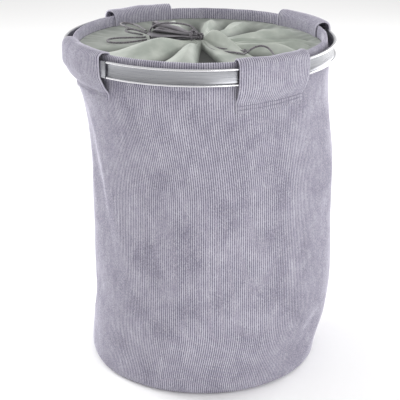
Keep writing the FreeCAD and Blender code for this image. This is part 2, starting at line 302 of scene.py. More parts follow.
def start_material(name: str) -> tuple[bpy.types.NodeTree, bpy.types.Node, bpy.types.NodeSocket]:
    """Make an empty material.

    Args:
        name: the material's name.

    Returns:
        Its tree, its shader and the surface position that patterns are drawn on.
    """
    made = bpy.data.materials.new(name)
    made.use_nodes = True
    tree = made.node_tree
    tree.nodes.clear()
    shader = node(tree, "ShaderNodeBsdfPrincipled")
    node(tree, "ShaderNodeOutputMaterial", {"Surface": shader.outputs["BSDF"]})
    place = node(tree, "ShaderNodeTexCoord").outputs["Object"]
    return tree, shader, place


def mixed(tree: bpy.types.NodeTree, share: bpy.types.NodeSocket,
          first: Colour | bpy.types.NodeSocket,
          second: Colour | bpy.types.NodeSocket) -> bpy.types.NodeSocket:
    """Mix two colours, each a colour or a socket, by a share."""
    mix = node(tree, "ShaderNodeMix", {0: share, 6: first, 7: second}, data_type="RGBA")
    return mix.outputs[2]


def ranged(tree: bpy.types.NodeTree, value: bpy.types.NodeSocket, low: float, high: float,
           to_low: float = 0.0, to_high: float = 1.0) -> bpy.types.NodeSocket:
    """Map a value's range onto another and clamp it."""
    return node(tree, "ShaderNodeMapRange", {
        "Value": value, "From Min": low, "From Max": high, "To Min": to_low, "To Max": to_high,
    }).outputs["Result"]


def grain(tree: bpy.types.NodeTree, place: bpy.types.NodeSocket, size: float,
          stretch: tuple[float, float, float] = (1, 1, 1),
          detail: float = 2.0) -> bpy.types.NodeSocket:
    """Noise of a real size.

    Args:
        tree: the material's tree.
        place: the position socket.
        size: the size of one grain, in metres.
        stretch: how much longer the grain is along each axis.
        detail: how many finer octaves are added.

    Returns:
        The noise, about 0.5.
    """
    scale = tuple(1 / (size * share) for share in stretch)
    mapped = node(tree, "ShaderNodeMapping", {"Vector": place, "Scale": scale})
    return node(tree, "ShaderNodeTexNoise", {
        "Vector": mapped.outputs["Vector"], "Scale": 1.0, "Detail": detail,
    }).outputs["Fac"]


@dataclass(frozen=True)
class Corduroy:
    """Polyester corduroy, eight wales to the inch: cut pile in soft ridges over a darker base
    cloth, whose colour in the grooves is partly its own and partly painted shade.

    The pile scatters light back along its edges, so grazing views look paler, and where it has
    been brushed the other way it shows as lighter and darker patches, which are painted sheen in
    its colour.
    """

    ridge: str = "B3B0BE"
    # the grooves' colour: partly the base cloth's own, partly painted shade between the ribs
    shaded_ground: str = "696676"
    # painted sheen: the lighter look of pile that lies the other way
    brushed: str = "C5C3CE"
    fibre: float = 0.9 * MM  # tufts, drawn about three times their size so that they show
    patch: float = 11 * MM

    def material(self) -> bpy.types.Material:
        """Build the material."""
        tree, shader, place = start_material("lilac corduroy")
        rib = node(tree, "ShaderNodeAttribute", attribute_name="rib").outputs["Fac"]
        fleck = grain(tree, place, self.fibre, (1, 1, 2.5))
        patches = grain(tree, place, self.patch, (0.9, 0.9, 1.5), 7.0)
        streak = grain(tree, place, 6 * MM, (0.6, 0.6, 6), 2.0)
        # patches of painted sheen where the pile lies the other way
        pile = mixed(tree, ranged(tree, patches, 0.36, 0.68), linear(self.ridge),
                     linear(self.brushed))
        rough_rib = node(tree, "ShaderNodeMath", {
            0: rib, 1: ranged(tree, fleck, 0.3, 0.7, -0.22, 0.22)}, operation="ADD")
        # the grooves between the ribs take the darker colour, partly as painted shade
        colour = mixed(tree, ranged(tree, rough_rib.outputs[0], 0.1, 0.62), linear(self.shaded_ground),
                       pile)
        shade = mixed(tree, ranged(tree, streak, 0.3, 0.7, 0.0, 0.22), colour, linear(self.shaded_ground))
        height = node(tree, "ShaderNodeMath", {0: fleck, 1: streak}, operation="ADD")
        bump = node(tree, "ShaderNodeBump", {
            "Height": height.outputs[0], "Strength": 0.5, "Distance": 0.35 * MM})
        tree.links.new(shade, shader.inputs["Base Color"])
        tree.links.new(bump.outputs["Normal"], shader.inputs["Normal"])
        shader.inputs["Roughness"].default_value = 0.95
        shader.inputs["Specular IOR Level"].default_value = 0.2
        shader.inputs["Sheen Weight"].default_value = 0.35
        shader.inputs["Sheen Roughness"].default_value = 0.45
        shader.inputs["Sheen Tint"].default_value = linear("E9E6F2")
        return find_material(tree)


def find_material(tree: bpy.types.NodeTree) -> bpy.types.Material:
    """The material that owns a shader tree."""
    return next(item for item in bpy.data.materials if item.node_tree == tree)


@dataclass(frozen=True)
class Cloth:
    """A plain woven or felted polyester cloth.

    Taffeta has a faint silky gloss and soft creases; canvas shows its threads; felt has a loose,
    hairy face. A cloth with a valley colour has painted shade in its folds: it darkens where its
    "crest" attribute is low.
    """

    name: str
    main: str
    shade: str
    weave: Weave = Weave.TAFFETA
    thread: float = 1.1 * MM  # real threads are about 0.3 mm; drawn coarser so that they show
    crease: float = 16 * MM
    crease_depth: float = 0.9 * MM
    # painted shade: the colour laid into the valleys of the folds
    valley: str = ""

    def material(self) -> bpy.types.Material:
        """Build the material."""
        tree, shader, place = start_material(self.name)
        tone = grain(tree, place, 30 * MM, (1, 1, 1), 3.0)
        colour = mixed(tree, ranged(tree, tone, 0.35, 0.7), linear(self.shade), linear(self.main))
        creases = grain(tree, place, self.crease, (1, 1.7, 1), 3.0)
        if self.weave is Weave.FELT:
            fine = grain(tree, place, 0.8 * MM, (1, 1, 1), 3.0)
        else:
            bands = 1 / self.thread / 20 * math.pi  # the texture has 20 / (2 pi) bands to a unit
            warp, weft = (
                node(tree, "ShaderNodeTexWave", {
                    "Vector": place, "Scale": bands, "Distortion": 0.4},
                    bands_direction=way).outputs["Fac"]
                for way in ("X", "Y"))
            fine = node(tree, "ShaderNodeMath", {0: warp, 1: weft}, operation="MAXIMUM").outputs[0]
        threads = node(tree, "ShaderNodeBump", {
            "Height": fine, "Strength": 0.25, "Distance": 0.1 * MM})
        bump = node(tree, "ShaderNodeBump", {
            "Height": creases, "Strength": 0.6, "Distance": self.crease_depth,
            "Normal": threads.outputs["Normal"]})
        fine_shade = mixed(tree, ranged(tree, fine, 0.0, 1.0, 0.12, 0.0), colour,
                           linear(self.shade))
        # painted shade: the cloth darkens towards the valley colour where its folds are lowest
        if self.valley:
            crest = node(tree, "ShaderNodeAttribute", attribute_name="crest").outputs["Fac"]
            fine_shade = mixed(tree, ranged(tree, crest, 0.0, 0.72), linear(self.valley),
                               fine_shade)
        tree.links.new(fine_shade, shader.inputs["Base Color"])
        tree.links.new(bump.outputs["Normal"], shader.inputs["Normal"])
        silky = self.weave is Weave.TAFFETA
        shader.inputs["Roughness"].default_value = 0.62 if silky else 0.9
        shader.inputs["Specular IOR Level"].default_value = 0.4 if silky else 0.2
        shader.inputs["Sheen Weight"].default_value = 0.15
        shader.inputs["Sheen Roughness"].default_value = 0.4
        return find_material(tree)


@dataclass(frozen=True)
class BraidedCord:
    """Round braided polyester cord: a soft gloss broken by slanting strands, with a painted
    highlight on each strand and painted shade between them.
    """

    name: str = "drawcord"
    # the cord's grey lifted by a painted highlight on the strands' tops
    light: str = "8F8A91"
    # the cord's grey deepened by painted shade between the strands
    dark: str = "37343A"
    strand: float = 1.3 * MM

    def material(self) -> bpy.types.Material:
        """Build the material."""
        tree, shader, place = start_material(self.name)
        cells = node(tree, "ShaderNodeTexVoronoi", {
            "Vector": place, "Scale": 1 / self.strand}).outputs["Distance"]
        # each strand's middle takes the painted highlight, its edges the darker colour with painted
        # shade
        colour = mixed(tree, ranged(tree, cells, 0.15, 0.8), linear(self.light), linear(self.dark))
        bump = node(tree, "ShaderNodeBump", {
            "Height": cells, "Strength": 0.7, "Distance": -0.3 * MM})
        tree.links.new(colour, shader.inputs["Base Color"])
        tree.links.new(bump.outputs["Normal"], shader.inputs["Normal"])
        shader.inputs["Roughness"].default_value = 0.55
        shader.inputs["Sheen Weight"].default_value = 0.2
        return find_material(tree)


@dataclass(frozen=True)
class BrushedAluminium:
    """Aluminium strip, brushed along its length and clear-lacquered.

    The scratches run round the hoop, so highlights spread across its height. They are drawn on
    the attributes "round" and "up", which follow the strip.
    """

    metal: str = "A6A7AB"
    scored: str = "8B8C91"
    # the lips' colour, lighter than the metal: a painted highlight
    polish_and_highlight: str = "E2E2E5"
    polished_roughness: float = 0.24
    scratch: float = 0.9 * MM  # brush lines, drawn several times their width so that they show
    run: float = 60 * MM

    def material(self) -> bpy.types.Material:
        """Build the material."""
        tree, shader, _ = start_material("brushed aluminium")
        round_way = node(tree, "ShaderNodeAttribute", attribute_name="round").outputs["Fac"]
        up_way = node(tree, "ShaderNodeAttribute", attribute_name="up").outputs["Fac"]
        strip = node(tree, "ShaderNodeCombineXYZ", {"X": round_way, "Y": up_way}).outputs[0]
        lines = grain(tree, strip, self.scratch, (self.run / self.scratch, 1, 1), 3.0)
        smudge = grain(tree, strip, 25 * MM, (2, 1, 1), 2.0)
        colour = mixed(tree, ranged(tree, lines, 0.3, 0.7), linear(self.scored),
                       linear(self.metal))
        bump = node(tree, "ShaderNodeBump", {
            "Height": lines, "Strength": 0.25, "Distance": 0.08 * MM})
        rough = node(tree, "ShaderNodeMath", {
            0: ranged(tree, lines, 0.3, 0.7, 0.22, 0.34),
            1: ranged(tree, smudge, 0.3, 0.7, 0.0, 0.06)}, operation="ADD")
        # the rolled lips: lower roughness for their polish, and a lighter colour that is a painted
        # highlight
        lip = node(tree, "ShaderNodeAttribute", attribute_name="lip").outputs["Fac"]
        tree.links.new(mixed(tree, lip, colour, linear(self.polish_and_highlight)), shader.inputs["Base Color"])
        polish = node(tree, "ShaderNodeMix", {
            0: lip, 2: rough.outputs[0], 3: self.polished_roughness})
        tree.links.new(polish.outputs[0], shader.inputs["Roughness"])
        tree.links.new(bump.outputs["Normal"], shader.inputs["Normal"])
        shader.inputs["Metallic"].default_value = 1.0
        return find_material(tree)


@dataclass(frozen=True)
class GreyBoard:
    """Grey recycled board: matt, with pale fibres in it."""

    main: str = "8F8778"
    fibre: str = "B3AC9E"

    def material(self) -> bpy.types.Material:
        """Build the material."""
        tree, shader, place = start_material("grey board")
        fibres = grain(tree, place, 2 * MM, (3, 1, 1), 4.0)
        colour = mixed(tree, ranged(tree, fibres, 0.4, 0.7), linear(self.main), linear(self.fibre))
        bump = node(tree, "ShaderNodeBump", {
            "Height": fibres, "Strength": 0.3, "Distance": 0.1 * MM})
        tree.links.new(colour, shader.inputs["Base Color"])
        tree.links.new(bump.outputs["Normal"], shader.inputs["Normal"])
        shader.inputs["Roughness"].default_value = 0.92
        return find_material(tree)


@dataclass(frozen=True)
class StudioFloor:
    """Matt white painted studio floor, with a trace of roller texture."""

    paint: str = "FAFAFA"
    rolled: str = "FCFCFC"

    def material(self) -> bpy.types.Material:
        """Build the material."""
        tree, shader, place = start_material("white studio floor")
        roller = grain(tree, place, 12 * MM, (1, 1, 1), 2.0)
        colour = mixed(tree, roller, linear(self.paint), linear(self.rolled))
        tree.links.new(colour, shader.inputs["Base Color"])
        shader.inputs["Roughness"].default_value = 0.9
        return find_material(tree)


# ------------------------------------------------------------------ Geometry Nodes trees
def socket(tree: bpy.types.NodeTree, name: str, kind: str, out: bool = False) -> None:
    """Add a named input, or an output, to a tree."""
    tree.interface.new_socket(name, in_out="OUTPUT" if out else "INPUT", socket_type=kind)


def wale_tree() -> bpy.types.NodeTree:
    """The tree that raises corduroy ribs on a sheet and stores their height as "rib".

    Returns:
        A tree with the inputs Cloth, Wale height, Crush, Seed and Finish.
    """
    tree = bpy.data.node_groups.new("Corduroy wales", "GeometryNodeTree")
    socket(tree, "Ribbed cloth", "NodeSocketGeometry", out=True)
    socket(tree, "Cloth", "NodeSocketGeometry")
    for name in ("Wale height", "Crush", "Seed"):
        socket(tree, name, "NodeSocketFloat")
    socket(tree, "Finish", "NodeSocketMaterial")
    given = node(tree, "NodeGroupInput").outputs
    turns = node(tree, "GeometryNodeInputNamedAttribute", {"Name": "wale"}, data_type="FLOAT")
    angle = node(tree, "ShaderNodeMath", {0: turns.outputs["Attribute"], 1: 2 * math.pi},
                 operation="MULTIPLY")
    wave = node(tree, "ShaderNodeMath", {0: angle.outputs[0]}, operation="COSINE")
    rib = node(tree, "ShaderNodeMath", {0: wave.outputs[0], 1: 0.5, 2: 0.5},
               operation="MULTIPLY_ADD")
    crush = node(tree, "ShaderNodeTexNoise", {"W": given["Seed"], "Scale": 22.0, "Detail": 2.0},
                 noise_dimensions="4D")
    keep = node(tree, "ShaderNodeMapRange", {
        "Value": crush.outputs["Fac"], "From Min": 0.35, "From Max": 0.65, "To Max": 1.0})
    floor = node(tree, "ShaderNodeMath", {0: 1.0, 1: given["Crush"]}, operation="SUBTRACT")
    tree.links.new(floor.outputs[0], keep.inputs["To Min"])
    raised = node(tree, "ShaderNodeMath", {0: rib.outputs[0], 1: keep.outputs["Result"]},
                  operation="MULTIPLY")
    stored = node(tree, "GeometryNodeStoreNamedAttribute", {
        "Geometry": given["Cloth"], "Name": "rib", "Value": raised.outputs[0]},
        data_type="FLOAT", domain="POINT")
    lift = node(tree, "ShaderNodeMath", {0: raised.outputs[0], 1: given["Wale height"]},
                operation="MULTIPLY")
    way = node(tree, "ShaderNodeVectorMath", {
        0: node(tree, "GeometryNodeInputNormal").outputs["Normal"], "Scale": lift.outputs[0]},
        operation="SCALE")
    moved = node(tree, "GeometryNodeSetPosition", {
        "Geometry": stored.outputs["Geometry"], "Offset": way.outputs["Vector"]})
    real = node(tree, "GeometryNodeRealizeInstances", {"Geometry": moved.outputs["Geometry"]})
    dressed = node(tree, "GeometryNodeSetMaterial", {
        "Geometry": real.outputs["Geometry"], "Material": given["Finish"]})
    node(tree, "NodeGroupOutput", {0: dressed.outputs["Geometry"]})
    return tree


def stitch_tree() -> bpy.types.NodeTree:
    """The tree that lays thread stitches along a line of edges.

    Returns:
        A tree with the inputs Line, Spacing, Stitch length, Thread radius and Finish.
    """
    tree = bpy.data.node_groups.new("Stitches", "GeometryNodeTree")
    socket(tree, "Stitches", "NodeSocketGeometry", out=True)
    socket(tree, "Line", "NodeSocketGeometry")
    for name in ("Spacing", "Stitch length", "Thread radius"):
        socket(tree, name, "NodeSocketFloat")
    socket(tree, "Finish", "NodeSocketMaterial")
    given = node(tree, "NodeGroupInput").outputs
    curve = node(tree, "GeometryNodeMeshToCurve", {"Mesh": given["Line"]})
    points = node(tree, "GeometryNodeCurveToPoints", {
        "Curve": curve.outputs["Curve"], "Length": given["Spacing"]}, mode="LENGTH")
    along = node(tree, "FunctionNodeAlignRotationToVector", {
        "Vector": points.outputs["Tangent"]}, axis="Z")
    thread = node(tree, "GeometryNodeMeshCylinder", {
        "Vertices": 6, "Radius": given["Thread radius"], "Depth": given["Stitch length"]})
    laid = node(tree, "GeometryNodeInstanceOnPoints", {
        "Points": points.outputs["Points"], "Instance": thread.outputs["Mesh"],
        "Rotation": along.outputs["Rotation"]})
    real = node(tree, "GeometryNodeRealizeInstances", {"Geometry": laid.outputs["Instances"]})
    dressed = node(tree, "GeometryNodeSetMaterial", {
        "Geometry": real.outputs["Geometry"], "Material": given["Finish"]})
    node(tree, "NodeGroupOutput", {0: dressed.outputs["Geometry"]})
    return tree


@dataclass
class Workshop:
    """The finishes and trees that the sub-assemblies share."""

    corduroy: bpy.types.Material
    closure: bpy.types.Material
    casing: bpy.types.Material
    lining: bpy.types.Material
    felt: bpy.types.Material
    tape: bpy.types.Material
    cord: bpy.types.Material
    thread: bpy.types.Material
    metal: bpy.types.Material
    board: bpy.types.Material
    wales: bpy.types.NodeTree
    stitches: bpy.types.NodeTree

    @classmethod
    def open(cls) -> "Workshop":
        """Make every finish and tree once."""
        return cls(
            corduroy=Corduroy().material(),
            # the closure's and the casing's valley colours are painted shade in their folds
            closure=Cloth("grey-green taffeta", "C2C7BF", "A3AAA2", valley="2B2D2B").material(),
            casing=Cloth("grey casing taffeta", "A8A4AA", "757278", crease=6 * MM,
                         valley="121014").material(),
            lining=Cloth("grey-green lining", "9FA59D", "8B918A", crease=40 * MM).material(),
            felt=Cloth("needle felt", "D8D6D0", "C6C3BB", Weave.FELT).material(),
            tape=Cloth("woven binding tape", "7D8080", "5F6262", Weave.CANVAS).material(),
            # the cord's and the thread's light and dark colours are painted highlight and painted
            # shade on their strands
            cord=BraidedCord().material(),
            thread=BraidedCord("lilac thread", "8F8C9E", "6B6878", 0.6 * MM).material(),
            metal=BrushedAluminium().material(),
            board=GreyBoard().material(),
            wales=wale_tree(),
            stitches=stitch_tree(),
        )

    def rib(self, piece: bpy.types.Object, height: float = 0.75 * MM, crush: float = 0.45,
            seed: float = 1.0) -> bpy.types.Object:
        """Raise corduroy ribs on a sheet that has a "wale" attribute."""
        return run_tree(piece, self.wales, {
            "Wale height": height, "Crush": crush, "Seed": seed, "Finish": self.corduroy})

    def stitch(self, name: str, lines: Iterable[Sequence[Vector]], body: str, slot: str,
               spacing: float = 3.4 * MM, length: float = 2.6 * MM,
               radius: float = 0.35 * MM) -> bpy.types.Object:
        """Sew stitches along lines of points.

        Args:
            name: the piece's name.
            lines: each seam's points.
            body: the body that the stitches move with.
            slot: the record's material slot.
            spacing: from one stitch to the next.
            length: one stitch's length.
            radius: the thread's radius.

        Returns:
            The stitches as one piece.
        """
        points: list[Vector] = []
        edges: list[tuple[int, int]] = []
        for line in lines:
            first = len(points)
            points.extend(line)
            edges.extend((first + k, first + k + 1) for k in range(len(line) - 1))
        mesh = bpy.data.meshes.new(name)
        mesh.from_pydata(points, edges, [])
        piece = run_tree(new_object(name, mesh), self.stitches, {
            "Spacing": spacing, "Stitch length": length, "Thread radius": radius,
            "Finish": self.thread})
        return settle(piece, body, slot)


# ------------------------------------------------------------------ the bag
@dataclass(frozen=True)
class Dent:
    """A soft hollow, or a bulge where depth is negative, in the bag's wall.

    Attributes:
        azimuth: its middle, in degrees to the right of the front.
        height: its middle's height.
        wide: half its width, in degrees.
        tall: half its height.
        depth: how far it goes in.
        slant: degrees to the right for each metre up.
    """

    azimuth: float
    height: float
    wide: float
    tall: float
    depth: float
    slant: float = 0.0

    def at(self, azimuth: float, height: float) -> float:
        """How deep the wall is pushed in at a place."""
        up = height - self.height
        side = turn_between(azimuth, self.azimuth + self.slant * up) / self.wide
        reach = side * side + (up / self.tall) ** 2
        return self.depth * math.exp(-DENT_FADE * reach) if reach < DENT_END else 0.0


@dataclass
class Bag:
    """The corduroy bag with its interlining, lining and bottom.

    Attributes:
        shop: its finishes and trees.
        keep: the share of its height that is left when the rim is pushed down; not used.
        radius: its outer radius at the top.
        top: the wall's height.
        corner: the radius of its bottom corner.
        lean: how far it leans over to the right.
        waist: how much narrower it is below the rim.
        foot: how much narrower it is at the floor.
        unevenness: how far the wall wavers in and out, in millimetres.
        floor_edge: where the inner layers start, above the floor.
        seam_azimuth: the side seam's place, in the frame.
        turn_in: the cloth turned in at the top; not used.
        wale_pitch: from one rib to the next.
        travel: the joint that pushes the rim down; not used.
        dents: the hollows and bulges in the wall.
    """

    shop: Workshop
    keep: float
    radius: float
    top: float
    corner: float = 11 * MM
    lean: float = 19 * MM
    waist: float = 4.5 * MM
    foot: float = 10 * MM
    unevenness: float = 1.6
    floor_edge: float = 5.2 * MM
    seam_azimuth: float = 104
    turn_in: float = 13 * MM
    wale_pitch: float = 3.2 * MM
    travel: str = "rim_lower"
    dents: tuple[Dent, ...] = (
        Dent(-62, 0.395, 26, 0.060, 6 * MM),
        Dent(-66, 0.300, 9, 0.150, 4 * MM, -140),
        Dent(-52, 0.250, 8, 0.130, -3.0 * MM, -140),
        Dent(-25, 0.330, 22, 0.090, 3.5 * MM, -60),
        Dent(-12, 0.180, 18, 0.080, -3 * MM),
        Dent(20, 0.300, 16, 0.120, 2 * MM, 80),
        Dent(58, 0.075, 20, 0.035, 7 * MM, 300),
        Dent(75, 0.150, 22, 0.060, -3 * MM),
        Dent(-40, 0.060, 24, 0.040, 4 * MM),
        Dent(150, 0.300, 24, 0.090, 5 * MM, 90),
        Dent(-160, 0.160, 20, 0.070, 5 * MM, -120),
        Dent(115, 0.120, 22, 0.060, 4 * MM),
        Dent(-110, 0.330, 18, 0.080, -4 * MM),
    )

    def wales(self) -> int:
        """How many ribs run round the bag."""
        return round(2 * math.pi * self.radius / self.wale_pitch)

    def shift(self, height: float) -> float:
        """How far the soft bag leans over to the right at a height."""
        low = 0.25 + 0.75 * smooth(height, 0.0, 0.11)
        return self.lean * low * (1 - 0.82 * smooth(height, 0.30, 0.46))

    def surface(self, azimuth: float, height: float, inset: float = 0.0) -> Vector:
        """A point on the wall.

        Args:
            azimuth: degrees to the right of the front.
            height: above the floor.
            inset: how far inside the corduroy's face.

        Returns:
            The point, in the frame.
        """
        waist = -self.waist * (1 - smooth(height, 0.36, self.top)) * smooth(height, 0.0, 0.06)
        foot = -self.foot * (1 - smooth(height, 0.0, 0.075))
        radius = self.radius + waist + foot
        if height < self.corner:
            drop = self.corner - height
            radius -= self.corner - math.sqrt(max(0.0, self.corner ** 2 - drop ** 2))
        fade = 1 - smooth(height, 0.41, self.top)
        radius -= fade * sum(dent.at(azimuth, height) for dent in self.dents)
        ripple = noise.noise(Vector((math.cos(math.radians(azimuth)) * 2.2,
                                     math.sin(math.radians(azimuth)) * 2.2, height * 9)))
        radius += fade * self.unevenness * MM * ripple
        point = polar(radius - inset, FRONT_AZIMUTH + azimuth, height)
        return point + polar(self.shift(height), FRONT_AZIMUTH + 90, 0.0)

    def row_height(self, share: float) -> float:
        """A row's height, with closer rows round the bottom corner."""
        return self.top * (share ** 1.35 * 0.6 + share * 0.4)

    def wall(self) -> None:
        """The corduroy wall."""
        count = self.wales()

        def place(column: float, row: float) -> Vector:
            """A point on the wall, just off the floor at its foot."""
            return self.surface(column * 360, max(self.row_height(row), 0.4 * MM))

        piece = sheet_object("bag_wall", count * RIB_STEPS, 64, place, closed=True, wales=count)
        self.shop.rib(piece)
        settle(piece, "bag", "corduroy", "outer_wall")
        self.collapse(piece)

    def collapse(self, piece: bpy.types.Object) -> None:
        """Give a soft layer its own copy of its mesh."""
        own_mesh(piece)

    def layer(self, name: str, inset: float, thickness: float, finish: bpy.types.Material,
              slot: str, replaced: str, top: float, inside: bool) -> None:
        """A plain layer inside the corduroy, from the floor's edge up.

        Args:
            name: the piece's name.
            inset: how far its face is inside the corduroy's.
            thickness: the cloth's thickness.
            finish: its material.
            slot: the record's material slot.
            replaced: the node that it stands for.
            top: its upper edge.
            inside: whether it is seen from inside the bag.
        """
        def place(column: float, row: float) -> Vector:
            """A point on the layer's face."""
            height = self.floor_edge + (top - self.floor_edge) * row
            return self.surface(column * 360, height, inset)

        piece = sheet_object(name, 180, 40, place, closed=True, flip=inside)
        thicken(piece, thickness, 1.0 if inside else -1.0)
        dress(piece, finish)
        settle(piece, "bag", slot, replaced)
        self.collapse(piece)

    def disc(self, name: str, radius: float, low: float, thickness: float,
             finish: bpy.types.Material, slot: str, replaced: str) -> None:
        """A round cloth or board in the bottom, with a rounded edge.

        Args:
            name: the piece's name.
            radius: its radius.
            low: its underside's height.
            thickness: its thickness.
            finish: its material.
            slot: the record's material slot.
            replaced: the node that it stands for.
        """
        edge = thickness / 2
        flat, bent = 0.45, 0.10  # shares of the rows on each face and round the edge

        def place(column: float, row: float) -> Vector:
            """A point on the underside, round the edge or on the top."""
            if row <= flat:
                out, up = row / flat * (radius - edge), -edge
            elif row <= flat + bent:
                bend = math.pi * (row - flat) / bent
                out, up = radius - edge + edge * math.sin(bend), -edge * math.cos(bend)
            else:
                out, up = (1 - row) / flat * (radius - edge), edge
            return polar(out, column * 360, low + edge + up)

        piece = sheet_object(name, 96, 40, place, closed=True)
        dress(piece, finish)
        settle(piece, "bag", slot, replaced)

    def seam_tape(self) -> None:
        """The tape over the side seam, inside."""
        middle = self.seam_azimuth - FRONT_AZIMUTH
        degrees, foot, length, inset = 5, 0.034, 0.43, 4.9 * MM

        def place(column: float, row: float) -> Vector:
            """A point on the tape, which bows off the lining at its middle."""
            bow = 0.5 * MM * math.sin(math.pi * column)
            return self.surface(middle - degrees / 2 + degrees * column, foot + length * row,
                                inset + bow)

        piece = sheet_object("side_seam", 10, 60, place, flip=True)
        thicken(piece, 0.7 * MM, 1.0)
        dress(piece, self.shop.tape)
        settle(piece, "bag", "lining_cloth", "side_seam_tape")
        self.collapse(piece)

    def binding(self) -> None:
        """The rolled tape over the seam round the bottom."""
        low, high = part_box("bottom_binding")
        inner = 0.157
        ring = (high[0] + inner) / 2

        def place(column: float, row: float) -> Vector:
            """A point on the tape's flat oval section."""
            angle = 2 * math.pi * row
            return polar(ring + 2.6 * MM * math.cos(angle), column * 360,
                         low[2] + 0.8 * MM + 0.7 * MM * math.sin(angle))

        piece = sheet_object("floor_binding", 180, 14, place, closed=True)
        dress(piece, self.shop.tape)
        settle(piece, "bag", "binding_tape", "bottom_binding")

    def bottom(self) -> None:
        """The corduroy bottom and the cloth over the board."""
        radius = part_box("bottom_panel")[1][0]
        self.disc("bottom_cloth", radius + 6 * MM, 0.2 * MM, 1.7 * MM, self.shop.corduroy,
                  "corduroy", "bottom_panel")
        self.disc("floor_board", radius - 1 * MM, 2.1 * MM, 1.8 * MM, self.shop.board, "board",
                  "base_board")
        self.disc("floor_lining", radius + 3 * MM, 4.3 * MM, 0.8 * MM, self.shop.lining,
                  "lining_cloth", "bottom_lining")

    def build(self) -> None:
        """Make every piece of the bag."""
        self.wall()
        self.layer("wall_felt", 2.2 * MM, 1.1 * MM, self.shop.felt, "felt", "wall_interlining",
                   self.top, inside=False)
        self.layer("wall_inner", 3.9 * MM, 0.6 * MM, self.shop.lining, "lining_cloth",
                   "wall_lining", self.top, inside=True)
        self.seam_tape()
        self.binding()
        self.bottom()


